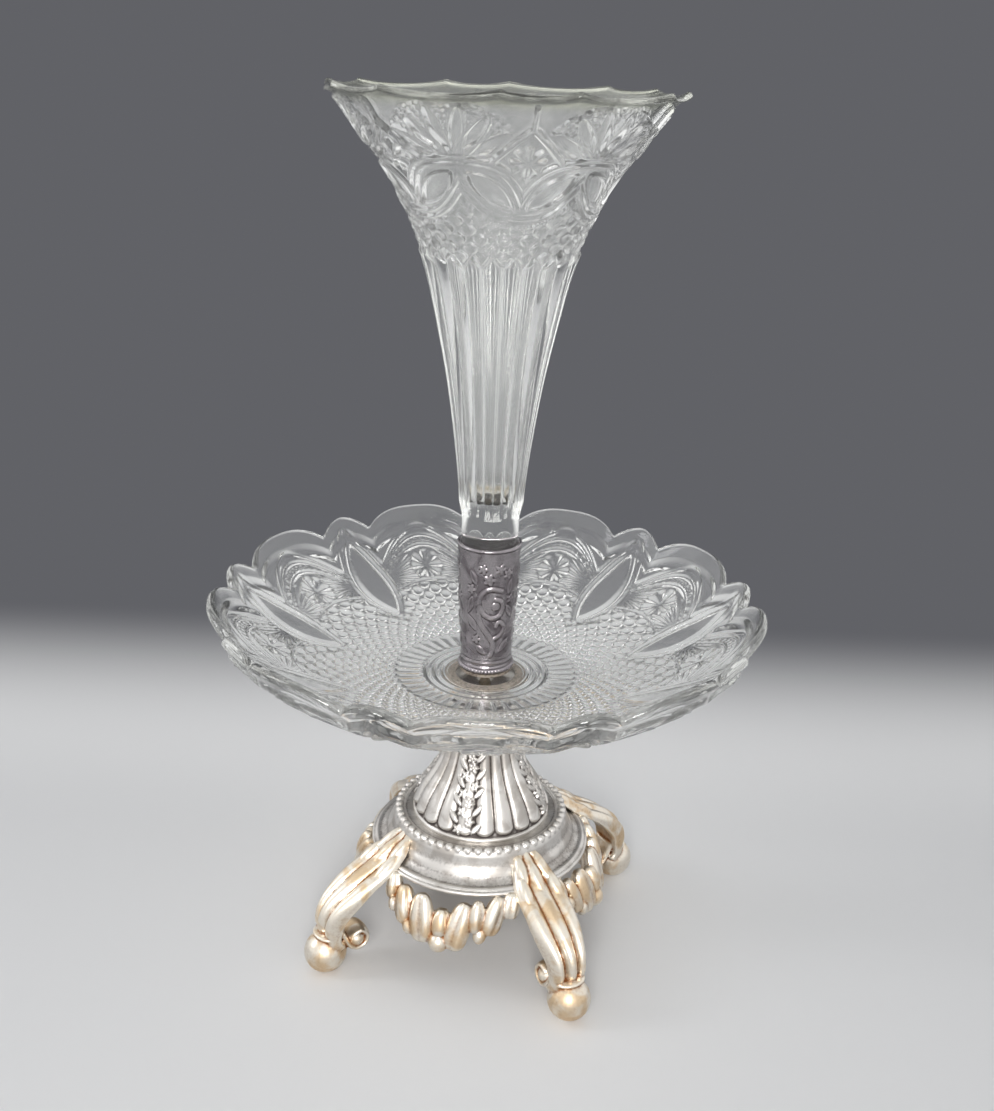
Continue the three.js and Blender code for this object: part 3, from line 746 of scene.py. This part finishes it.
def glass_dish():
    floor_z = dish_low[2] + DISH_FLOOR
    bowl = flared(DISH_BOWL, (DISH_FLOOR_R, floor_z), (DISH_R, floor_z + DISH_DEPTH), 300)
    share = np.linspace(0, 1, len(bowl)).reshape(-1, 1)
    under = bowl + outward(bowl) * (DISH_FLOOR + (DISH_RIM - DISH_FLOOR) * share)
    flat_r = DISH_BORE_R + 6
    flat = np.array([[DISH_BORE_R, dish_low[2]], [flat_r, dish_low[2]]])
    lower = even(np.vstack([[[14.5, dish_low[2]]], under]), 0.56)
    rim = rounded_end(lower[-1], bowl[-1], 9, 0.75)
    upper = even(bowl, 4.5)[::-1]
    bore = np.array([[flat_r, floor_z], [DISH_BORE_R, floor_z], [DISH_BORE_R, floor_z - DISH_FLOOR / 2]])
    outline = np.vstack([flat, lower, rim, upper, bore])
    pressed = rows_between(len(outline), len(flat), len(lower))
    radius = outline[:, :1]
    inner_side = ~rows_between(len(outline), 0, len(flat) + len(lower) + len(rim) // 2)
    starts = 93 - 2.5 * inner_side
    share_up = np.clip((radius - starts) / (DISH_R - starts), 0, 1)
    share_up = share_up * (1.6 - 0.6 * share_up)
    climb = headings(bowl)
    ways = np.column_stack([np.interp(outline[:, 0], bowl[:, 0], climb[:, k]) for k in range(2)])

    def relief(angle):
        slid = -dish_lobe(angle) * share_up
        place = np.maximum(radius + slid * ways[:, :1], 10)
        border = 1.5 * soft_ridge(radius - 106.6, 3.6)
        plain_edge = 1 - smooth(radius, 109, 111.5)
        return np.where(pressed, np.maximum(dish_relief(angle, place) * plain_edge, border), 0), slid

    shell = skin("glass_dish_shell", turned(outline, DISH_COLUMNS, relief, ways))
    return mark_pressed(shell, pressed[:, 0], DISH_COLUMNS)


# Turned and stamped metal

ROD_R = 2.5
BORE_R = 2.8  # round the rod in the sleeve, the ring and the seat

# Ornament of the sleeve, in millimetres across and up: lines of the stems with half their width,
# middles and sizes of the flowers, and middle, lean, length and width of the leaves
SLEEVE_STEMS = (
    ([(2.1, 30.6), (4.6, 29.4), (5.4, 26.4), (3.6, 23.2), (0.2, 22.4), (-3.2, 24.6), (-5.0, 29), (-3.4, 33.4),
      (0.4, 35.2), (4.6, 34.2)], 1.25),
    ([(-4.6, 26.4), (-4.4, 20.5), (-1.2, 15.5), (1.6, 10.5), (0.4, 5.4)], 1.35),
    ([(1.2, 12.6), (4.8, 14.6), (6.2, 18), (3.9, 20.4), (2.6, 18.4)], 1.1),
)
SLEEVE_FLOWERS = ((-0.9, 39.2, 2.9), (3.8, 43.6, 2.5), (7.4, 41.4, 2.6), (-3.6, 43.8, 2.3), (9.2, 30, 2.3),
                  (-8.6, 34.5, 2.4), (-5.8, 12.4, 2.3))
SLEEVE_LEAVES = ((8.4, 35.6, 12, 7, 3), (-7.6, 39.8, -24, 7, 3), (-8.8, 27.6, 14, 8, 3.2),
                 (8.8, 24.4, -30, 7.5, 3), (-7.8, 19.6, -34, 8, 3.2), (6.4, 9.4, 40, 7.5, 3),
                 (-3.6, 7.8, -48, 6.5, 2.8))


def vase_sleeve():
    """Tapered tube with a rolled lip, embossed with flowers and curling stems."""
    top_r, bottom_r = sleeve_high[0], 10.6
    low_z, high_z = sleeve_low[2], sleeve_high[2]
    floor_z = low_z + 1.5
    side = even(np.array([[bottom_r, low_z + 0.6], [top_r, high_z - 1.2]]), 0.36)
    lip = arc((top_r - SLEEVE_WALL / 2, high_z - 0.75), 0.75, -20, 180, 8)
    inner = even(np.array([[top_r - SLEEVE_WALL, high_z - 1.4], [bottom_r - SLEEVE_WALL, floor_z]]), 6)
    floor = np.array([[BORE_R, floor_z], [BORE_R, low_z]])
    heel = np.array([[bottom_r - 0.5, low_z], [bottom_r - 0.1, low_z + 0.2]])
    outline = np.vstack([heel, side, lip, inner, floor])
    on_side = rows_between(len(outline), len(heel), len(side))
    radius, height = outline[:, :1], outline[:, 1:] - low_z

    def relief(angle):
        x = np.radians(folded(angle - 20, 120)) * radius
        sprays = highest(
            *(stroke(x, height, line, half) for line, half in SLEEVE_STEMS),
            *(blossom(x, height, *flower) for flower in SLEEVE_FLOWERS),
            *(0.85 * leaf(x, height, *leaflet) for leaflet in SLEEVE_LEAVES),
            1.1 * berry(x, height, 2.1, 27.6, 1.9), 0.7 * soft_ridge(height - 1.6, 1.0),
        )
        return np.where(on_side, 0.46 * sprays - 0.2, 0)

    return mark_hollows(skin("vase_sleeve_shell", turned(outline, 400, relief)), 14, 0.16)


def sleeve_ring():
    low, high = box_mm("sleeve_ring")
    edge = arc((high[0] - 1.1, low[2] + 1.25), 1.1, -80, 90, 12)
    neck = np.array([[high[0] - 1.5, low[2] + 2.4], [11.0, high[2]]])
    outline = np.vstack([[[BORE_R, low[2]], [high[0] - 1.6, low[2]]], edge, neck, [[BORE_R, high[2]]]])
    out = np.clip((outline[:, :1] - (high[0] - 0.9)) / 0.9, 0, 1)

    def relief(angle):
        return -0.35 * out * (1 - round_ridge(folded(angle, 7.5) / 7.5, 0.5))

    return mark_hollows(skin("sleeve_ring_shell", turned(outline, 288, relief)), 8, 0.1)


def dish_seat():
    """Flared cup under the dish, with short petals pressed in its side."""
    low, high = box_mm("dish_seat")
    side = spline([(12.2, low[2]), (13, low[2] + 3.6), (14.7, low[2] + 7.4), (16.9, high[2] - 1.3)], 26)
    lip = arc((high[0] - 1.1, high[2] - 1.1), 1.1, 0, 90, 5)
    inner = np.array([[high[0] - 2.4, high[2]], [11, low[2] + 6], [10, low[2] + 2.2], [BORE_R, low[2] + 2.2]])
    outline = np.vstack([[[BORE_R, low[2]]], side, lip, inner])
    height = (outline[:, 1:] - low[2]) / (high[2] - low[2])
    on_side = rows_between(len(outline), 1, len(side))

    def relief(angle):
        petal = round_ridge(folded(angle, 15) / 15, 0.5)
        petal = petal * smooth(height, 0.1, 0.25) * (1 - smooth(height, 0.7, 0.85))
        band = round_ridge(height - 0.06, 0.05)
        return np.where(on_side, -0.7 + 0.6 * petal + 0.5 * band, 0)

    return mark_hollows(skin("dish_seat_shell", turned(outline, 288, relief)), 10, 0.2)


def fluted_column():
    """Hollow trumpet of round ribs; down it, above each garland, hangs a spray of flowers."""
    low, high = box_mm("fluted_column")
    bottom_r, top_r, wall = high[0], 13.2, 3.4
    shares = [(0, 0), (0.13, 0.12), (0.28, 0.24), (0.6, 0.43), (0.77, 0.57), (0.91, 0.77), (1, 1)]
    curve = flared(shares, (bottom_r, low[2]), (top_r, high[2]), 200)
    outer = even(curve, 0.45)
    v = lengths(outer)
    total = v[-1]
    inner = even(curve - outward(curve) * wall, 5)[::-1]
    outline = np.vstack([outer, inner])
    on_outer = rows_between(len(outline), 0, len(outer))
    along = np.concatenate([v, np.full(len(inner), -1)]).reshape(-1, 1)
    radius = outline[:, :1]
    rng = np.random.default_rng(11)
    sprays = [(y, rng.uniform(-1, 1)) for y in np.linspace(5, total - 5, 12)]

    def relief(angle):
        across = folded(angle, 18) / 18
        tip = 5.6 - 3.4 * round_ridge(across, 0.5)
        ends = smooth(along, tip, tip + 1.6) * (1 - smooth(along, total - 1.6, total - 0.6))
        rib = 1.7 * round_ridge(across, 0.47) * ends
        x = np.radians(folded(angle, 90)) * radius
        flowers = np.zeros_like(x)
        for i, (y, sway) in enumerate(sprays):
            width = 1.2 + 2.6 * (1 - y / total)
            side = 1 if i % 2 else -1
            flowers = highest(
                flowers, blossom(x, along, side * width * 0.55 + sway, y, 2.5),
                0.9 * leaf(x, along, -side * (width + 1.6), y + 1, -side * 38, 6.4, 2.6),
                0.7 * berry(x, along, -side * width * 0.2 - sway, y + 2.1, 1.0),
            )
        hem = round_ridge(along - 1.1, 0.9) * 0.7
        lifted = np.where(flowers > 0.02, 1.1 + 1.25 * flowers, 0)
        return np.where(on_outer, highest(rib, hem, lifted) - 1.45, 0)

    return mark_hollows(skin("fluted_column_shell", turned(outline, METAL_COLUMNS, relief)), 16, 0.32)


def base_skirt():
    """Ledge, bead row and swept flange, stamped in one sheet."""
    _, high = box_mm("base_skirt")
    ledge_z = high[2] - 1
    wall = 1.8
    flange_z = 45.6
    ledge = [(24, ledge_z), (33.0, ledge_z), (33.4, ledge_z + 0.3), (34.2, ledge_z + 0.7),
             (35.4, ledge_z + 0.75), (36.8, ledge_z + 0.1), (37.6, ledge_z - 1.5)]
    sweep = [(37.7, flange_z + 10.6), (38.8, flange_z + 6), (41.6, flange_z + 2), (46.2, flange_z - 0.1)]
    top = even(np.vstack([spline(ledge, 60), spline(sweep, 60)]), 0.42)
    under = even(top + outward(top) * wall, 2.2)
    edge = arc((46.4, flange_z - wall / 2 - 0.1), wall / 2, 90, -90, 9)
    outline = np.vstack([under, edge[::-1], top[::-1]])
    on_top = rows_between(len(outline), len(under) + len(edge), len(top))
    radius, height = outline[:, :1], outline[:, 1:]
    bead_pitch, bead_row_r = 360 / 54, 35.6

    def relief(angle):
        bead_x = np.radians(folded(angle, bead_pitch)) * bead_row_r
        beads = round_ridge(np.hypot(bead_x, radius - bead_row_r), 1.6) * (height > ledge_z - 1)
        ring = 0.35 * round_ridge(radius - 33.2, 0.5)
        step = 0.35 * soft_ridge(radius - 39.6, 1.2) + 0.5 * soft_ridge(radius - 45.0, 1.4)
        return np.where(on_top, highest(beads, ring, step), 0)

    return mark_hollows(skin("base_skirt_shell", turned(outline, 648, relief)), 14, 0.3)


# Castings: closed lumps that run into each other, fused into one skin

def turned_by(axis, degrees, size=3):
    return Matrix.Rotation(math.radians(degrees), size, axis)


def loft(spine, section_at, steps):
    """A closed lump along a line of (x, z); section_at(share of the way) gives points (across, outward)."""
    line = spline(spine, 200)
    line = even(line, lengths(line)[-1] / steps)
    rings = []
    for i, (centre, normal) in enumerate(zip(line, -outward(line))):
        section = section_at(i / (len(line) - 1))
        x = centre[0] + section[:, 1] * normal[0]
        z = centre[1] + section[:, 1] * normal[1]
        rings.append(np.column_stack([x, section[:, 0], z]))
    return capped(np.array(rings))


def lump(centre, sizes, shape=None, turn=Matrix.Identity(3)):
    """A closed rounded lump of half sizes (x, y, z); shape(longitude, height -1 to 1) scales its girth."""
    around, rings = 28, 18
    turns = np.arange(around) * 2 * math.pi / around
    lon, lat = np.meshgrid(turns, np.linspace(-math.pi / 2, math.pi / 2, rings))
    girth = np.cos(lat) * (shape(lon, np.sin(lat)) if shape else 1)
    points = np.stack([
        sizes[0] * np.cos(lon) * girth, sizes[1] * np.sin(lon) * girth, sizes[2] * np.sin(lat),
    ], axis=-1)
    return capped(points @ np.array(turn).T + np.array(centre))


def fused(name, lumps):
    """One closed skin round all the lumps, a little softened."""
    vertices, faces, count = [], [], 0
    for points, its_faces in lumps:
        vertices.append(points)
        faces += [tuple(i + count for i in face) for face in its_faces]
        count += len(points)
    mesh = mesh_of(name + "_lumps", np.vstack(vertices), faces)
    maker = in_scene(name + "_maker", mesh)
    weld = maker.modifiers.new("weld", "WELD")
    weld.merge_threshold = 1e-6
    remesh = maker.modifiers.new("skin", "REMESH")
    remesh.mode = "VOXEL"
    remesh.voxel_size = CAST_VOXEL * MM
    soften = maker.modifiers.new("soften", "SMOOTH")
    soften.factor = 0.5
    soften.iterations = 2
    done = bpy.data.meshes.new_from_object(maker.evaluated_get(bpy.context.evaluated_depsgraph_get()))
    done.name = name
    bpy.data.objects.remove(maker)
    done.shade_smooth()
    return done


def stood(mesh):
    """The mesh with its lowest places pressed flat on the table."""
    for vertex in mesh.vertices:
        vertex.co.z = max(vertex.co.z, 0)
    return mesh


def spun(mesh, degrees, name):
    """A copy of a mesh turned about the axis."""
    copy = mesh.copy()
    copy.name = name
    copy.transform(turned_by("Z", degrees, 4))
    return copy


TOE_R = 9
TOE_CIRCLE_R = 74.5
TOE_Z = 8.41
LEG_SPINE = [(36, 55.5), (46, 47), (60.5, 37.7), (71.1, 26.9), (72.8, 16.9), (71.7, 11.5)]


def leg_section(share):
    """Three round ribs with deep grooves between, over a hollow back."""
    width = 14 + 8 * smooth(share, 0, 0.3) - 6 * smooth(share, 0.5, 0.88)
    neck = smooth(share, 0.84, 0.9) * (1 - smooth(share, 0.93, 0.99))
    thick = 5 + 5.5 * smooth(share, 0.3, 0.75) - 2.6 * neck
    tip = smooth(share, -0.06, 0.12)
    width, thick = width * (0.35 + 0.65 * tip), thick * (0.5 + 0.5 * tip)
    t = np.linspace(-1, 1, 41)
    ribs = np.maximum(round_ridge(t, 0.36), 0.9 * round_ridge(np.abs(t) - 0.67, 0.33))
    front = (0.72 * ribs + 0.28 * np.sqrt(np.clip(1 - t**2, 0, 1)) - 0.35) * thick / 1.3
    back_t = np.linspace(1, -1, 15)[1:-1]
    back = (-0.8 + 0.25 * (1 - back_t**2)) * thick / 2
    return np.vstack([
        np.column_stack([t * width / 2, front]),
        np.column_stack([back_t * width / 2 * 0.96, back]),
    ])


def ribbon_section(share):
    """A flat oval that tapers towards the end of the scroll."""
    turn = np.radians(np.arange(20) * 18)
    grow = 1 - 0.15 * share
    return np.column_stack([np.cos(turn) * 6.3 * grow, np.sin(turn) * 1.7 * (0.75 + 0.25 * grow)])


def diamond(lon, h):
    """Girth of a lump that is pointed at both ends of its length and width."""
    return (np.abs(np.cos(lon)) ** 1.6 + np.abs(np.sin(lon)) ** 1.6) ** (-1 / 1.6)


def scroll_leg():
    strap = loft(LEG_SPINE, leg_section, 60)
    heel = (TOE_CIRCLE_R - 13, 12.5)
    curl = [(69.5, 20), (66.5, 12.5), (62.5, 8.6), (58.4, 9.4), (57, 13), (59.5, 16.2), (63, 15), (63.2, 12)]
    scroll = loft(curl, ribbon_section, 44)
    button = lump((heel[0] + 0.2, 0, heel[1]), (4.3, 6.6, 4.3))
    toe = lump((TOE_CIRCLE_R, 0, TOE_Z), (TOE_R, TOE_R, TOE_R))
    collar = lump((73.1, 0, 17.0), (6.4, 7.4, 1.5), turn=turned_by("Y", -6))
    lumps = [strap, scroll, button, toe, collar]
    for place, beside, lean, long in ((45.5, 0, 0, 8.5), (42, 4.8, 8, 8), (50, 7.0, 5, 8)):
        z = np.interp(place, [36, 46, 60.5], [56.3, 49.2, 40.5]) - 0.4 - 0.16 * beside
        for side in (-1, 1) if beside else (1,):
            turn = turned_by("Z", side * lean) @ turned_by("Y", 36)
            lumps.append(lump((place, side * beside, z), (long, 2.7, 2.3), diamond, turn))
    return lumps


# Pods of a garland: direction, lowest and highest place, half width, half thickness, lean of the top
PODS = (
    (-32, 33.6, 45.4, 4.1, 3.8, 8), (-23.4, 25.8, 42.2, 5.1, 4.6, 13), (-12.6, 21.4, 42.0, 6.0, 5.0, 8),
    (-2.9, 26.0, 38.0, 4.7, 4.6, 0), (5.6, 20.9, 41.8, 5.7, 5.0, -13), (13.9, 29.6, 43.2, 3.9, 4.1, -4),
    (21.6, 28.0, 45.0, 4.9, 4.4, -20), (30.2, 34.6, 45.6, 4.2, 3.8, -12),
)
# Round buds before the pods: direction, middle, half width, half height
BUDS = ((-3.2, 24.0, 4.3, 4.4), (15.2, 29.0, 2.8, 3.6), (-18.4, 26.6, 2.8, 3.4), (-28.2, 33.4, 2.4, 3.2))


def garland_lumps():
    """Plump pods side by side, hanging lowest in the middle, with buds before the joints."""
    rng = np.random.default_rng(5)
    lumps = []

    def placed(degrees, radius, z, sizes, shape, tilt):
        way = turned_by("Z", degrees)
        turn = way @ turned_by("Y", -14) @ turned_by("X", tilt)
        lumps.append(lump(way @ Vector((radius, 0, z)), sizes, shape, turn))

    for degrees, foot_z, head_z, half_width, half_thick, lean in PODS:
        start = rng.uniform(0, 6)

        def pod(lon, h, start=start):
            blunt = np.clip(1 - h**2, 0.03, 1) ** -0.2
            return (0.95 - 0.13 * h) * blunt * (1 - 0.2 * np.abs(np.cos(1.5 * lon + start)) ** 8)

        out = 48.4 + 2.2 * (1 - (degrees / 34) ** 2)
        sizes = (half_thick, half_width, (head_z - foot_z) / 2)
        placed(degrees, out, (head_z + foot_z) / 2, sizes, pod, lean)
    for degrees, z, half_width, half_height in BUDS:
        out = 51.6 + 1.4 * (1 - (degrees / 34) ** 2)
        placed(degrees, out, z, (half_width, half_width, half_height), None, -degrees * 0.6)
    return lumps


# Fasteners

def threaded_rod():
    low, high = box_mm("tie_rod")
    line = even(np.array([[ROD_R, low[2] + 0.5], [ROD_R, high[2] - 0.5]]), 0.3)
    end_r = ROD_R - 0.5
    outline = np.vstack([[[0.2, low[2]], [end_r, low[2]]], line, [[end_r, high[2]], [0.2, high[2]]]])
    height = outline[:, 1:]
    ends = (height < low[2] + 12) | (height > high[2] - 10)
    side = rows_between(len(outline), 2, len(line))

    def relief(angle):
        return np.where(side & ends, -0.38 * (1 - zigzag(height / 0.9 - angle / 360)), 0)

    return mark_hollows(skin("tie_rod_shell", turned(outline, 48, relief), poles=True), 4, 0.15)


def hex_nut(node):
    """Six-sided nut, chamfered above and below."""
    low, high = box_mm(node)
    corner, bore_r = 5.2, 3.1
    flat = corner * math.cos(math.pi / 6)
    z = np.array([0, 0.05, 0.25, 0.5, 0.75, 0.95, 1]) * (high[2] - low[2]) + low[2]
    side = np.column_stack([np.full(len(z), corner), z])
    outline = np.vstack([[[bore_r, low[2]]], side, [[bore_r, high[2]]]])
    chamfer = np.minimum(outline[:, 1] - low[2], high[2] - outline[:, 1]).reshape(-1, 1)
    cone = flat + 0.05 + chamfer * 1.9
    bore = outline[:, :1] <= bore_r

    def relief(angle):
        hexagon = flat / np.cos(np.radians(folded(angle - 30, 60)))
        return 0, np.where(bore, 0, np.minimum(hexagon, cone) - corner)

    sideways = np.array([[1, 0]])
    return mark_hollows(skin(node + "_shell", turned(outline, 72, relief, sideways)), 2, 0.3)


# Assembly

silver = plated_metal(
    "silver_plate", (0.67, 0.645, 0.615), (0.47, 0.44, 0.41), (0.11, 0.095, 0.09), 0.33, 0.46)
warm = plated_metal(
    "worn_silver", (0.82, 0.76, 0.665), (0.68, 0.525, 0.35), (0.27, 0.115, 0.04), 0.3, 0.38)
dark = plated_metal(
    "tarnished_silver", (0.33, 0.305, 0.32), (0.185, 0.165, 0.178), (0.05, 0.042, 0.046), 0.17, 0.5)
brass = old_brass()
cork_sheet = cork()
vase_glass = pressed_glass("vase_glass", 0.17, stained=True)
dish_glass = pressed_glass("dish_glass", 0.06, stained=False)

vase = show("vase_visual", trumpet_vase(), vase_glass, "pressed_glass", VASE, "trumpet_vase")
dish = show("dish_visual", glass_dish(), dish_glass, "pressed_glass", STAND, "glass_dish")
for clear in (vase, dish):
    clear.visible_shadow = False
for name, make, material, slot, node in (
        ("sleeve_visual", vase_sleeve, dark, "tarnished_silver", "vase_sleeve"),
        ("sleeve_ring_visual", sleeve_ring, dark, "tarnished_silver", "sleeve_ring"),
        ("dish_seat_visual", dish_seat, silver, "silver_plate", "dish_seat"),
        ("column_visual", fluted_column, silver, "silver_plate", "fluted_column"),
        ("skirt_visual", base_skirt, silver, "silver_plate", "base_skirt")):
    show(name, make(), material, slot, STAND, node)
leg_mesh = mark_hollows(stood(fused("leg_cast", scroll_leg())), 14, 0.32)
swag_mesh = mark_hollows(fused("garland_cast", garland_lumps()), 12, 0.32)
for i in range(LEGS):
    quarter = 360 / LEGS * i
    leg = spun(leg_mesh, quarter + 180 / LEGS, f"leg_{i + 1}_cast")
    show(f"leg_{i + 1}_visual", leg, warm, "worn_silver", STAND, f"leg_{i + 1}")
    garland = spun(swag_mesh, quarter, f"garland_{i + 1}_cast")
    show(f"garland_{i + 1}_visual", garland, warm, "worn_silver", STAND, f"garland_{i + 1}")
show("tie_rod_visual", threaded_rod(), brass, "brass_parts", STAND, "tie_rod")
for node in ("foot_nut", "sleeve_nut"):
    show(node + "_visual", hex_nut(node), brass, "brass_parts", STAND, node)
for node, material in (("clamp_plate", brass), ("lower_gasket", cork_sheet), ("upper_gasket", cork_sheet)):
    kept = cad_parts[node]
    kept.data.materials.clear()
    kept.data.materials.append(material)


# Studio

BOARD = (0.12, 0.122, 0.134)  # colour of the board and cloth behind the object
SURROUND = (1.0, 1.0, 1.0)
BOARD_EDGE = (0.865, 0.93)  # cosines of the angle from the board's middle, outside and inside its soft edge
FLOOR_FADE = (0.3, 1.3)  # metres from the axis, from the pale floor to the surround
CLOTH_START = (0.06, 0.34)  # metres behind the axis
CLOTH_SIDE = (0.25, 0.6)  # metres aside, at the axis
CLOTH_WIDENS = 0.42  # metres aside for each metre back
VIEW_TURN = 13.5  # degrees that the camera and the board opposite are turned about the axis
BEHIND = turned_by("Z", VIEW_TURN) @ Vector((0, 1, 0))
ASIDE = turned_by("Z", VIEW_TURN) @ Vector((1, 0, 0))


def studio_world():
    """Pale all round, with a dark board behind the object."""
    world = bpy.data.worlds.new("studio")
    n = Nodes(world)
    lit = n.tree.nodes["Background"]
    n.give(lit, "Color", (0.9, 0.92, 0.95, 1))
    n.give(lit, "Strength", 0.42)
    way = n.add("ShaderNodeTexCoord").outputs["Generated"]
    taller = n.vector("MULTIPLY", way, (1, 1, 0.5))["Vector"]
    unit = n.vector("NORMALIZE", taller)["Vector"]
    behind = n.spread(n.vector("DOT_PRODUCT", unit, BEHIND)["Value"], *BOARD_EDGE)
    seen = n.add("ShaderNodeBackground", {"Color": n.mix(behind, SURROUND, BOARD)})
    n.give(n.tree.nodes["World Output"], "Surface", n.by_ray(seen.outputs[0], lit.outputs[0]))
    bpy.context.scene.world = world


def floor():
    """A wide disc, pale near the object, that runs out into the surround, and behind it into the board."""
    rings, columns = [[9000, 0], [2500, 0], [900, 0], [300, 0], [0.001, 0]], 96
    points = turned(rings, columns).reshape(-1, 3)
    mesh = mesh_of("floor", points, bands(len(rings), columns)[:-1].reshape(-1, 4).tolist())
    n = Look("floor")
    n.set("Base Color", (0.8, 0.8, 0.805, 1))
    n.set("Roughness", 0.8)
    n.set("Specular IOR Level", 0.2)
    far = n.spread(n.vector("LENGTH", n.place)["Value"], *FLOOR_FADE)
    back = n.vector("DOT_PRODUCT", n.place, BEHIND)["Value"]
    off = n.maths("ABSOLUTE", n.vector("DOT_PRODUCT", n.place, ASIDE)["Value"], clamp=False)
    edge = n.maths("MULTIPLY_ADD", back, -CLOTH_WIDENS, off, clamp=False)
    cloth = n.maths("MULTIPLY", n.spread(back, *CLOTH_START), n.spread(edge, *CLOTH_SIDE, 1, 0))
    glow = n.add("ShaderNodeEmission", {"Color": n.mix(cloth, SURROUND, BOARD)})
    pale = n.shader.outputs[0]
    seen = n.blend(n.maths("MAXIMUM", far, cloth), pale, glow.outputs[0])
    n.give(n.output, "Surface", n.by_ray(seen, pale))
    mesh.materials.append(n.material)
    disc = in_scene("floor", mesh)


def area_light(name, place, aim, size, power, colour):
    light = bpy.data.lights.new(name, "AREA")
    light.shape = "RECTANGLE"
    light.size, light.size_y = size
    light.energy = power
    light.color = colour
    lamp = in_scene(name, light)
    lamp.location = place
    lamp.visible_camera = False
    lamp.rotation_euler = (Vector(aim) - Vector(place)).to_track_quat("-Z", "Y").to_euler()


# Camera, fitted to the outlines in the photo: millimetres and degrees
CAMERA_RIGHT, CAMERA_BACK, CAMERA_UP = 3.168, 497.104, 366.453
CAMERA_PITCH, CAMERA_ROLL = 21.0005, 2.0898
FOCAL_PIXELS, PHOTO_HEIGHT = 1309.602, 1111
SENSOR_MM = 36


def photo_camera():
    data = bpy.data.cameras.new("photo_camera")
    data.sensor_width = SENSOR_MM
    data.lens = SENSOR_MM * FOCAL_PIXELS / PHOTO_HEIGHT
    data.clip_start = 0.01
    camera = in_scene("photo_camera", data)
    turn = turned_by("Z", VIEW_TURN, 4)
    place = Matrix.Translation(Vector((CAMERA_RIGHT, -CAMERA_BACK, CAMERA_UP)) * MM)
    tilt = turned_by("X", 90 - CAMERA_PITCH, 4)
    roll = turned_by("Z", CAMERA_ROLL, 4)
    camera.matrix_world = turn @ place @ tilt @ roll
    bpy.context.scene.camera = camera


studio_world()
floor()
area_light("key", (0.22, -1.1, 0.6), (0, 0, 0.2), size=(0.45, 0.45), power=9.5, colour=(1, 0.99, 0.97))
area_light("side", (-1.0, -0.3, 0.75), (0, 0, 0.17), size=(0.3, 0.5), power=2, colour=(0.97, 0.98, 1))
photo_camera()

bpy.context.scene.view_settings.view_transform = "Standard"
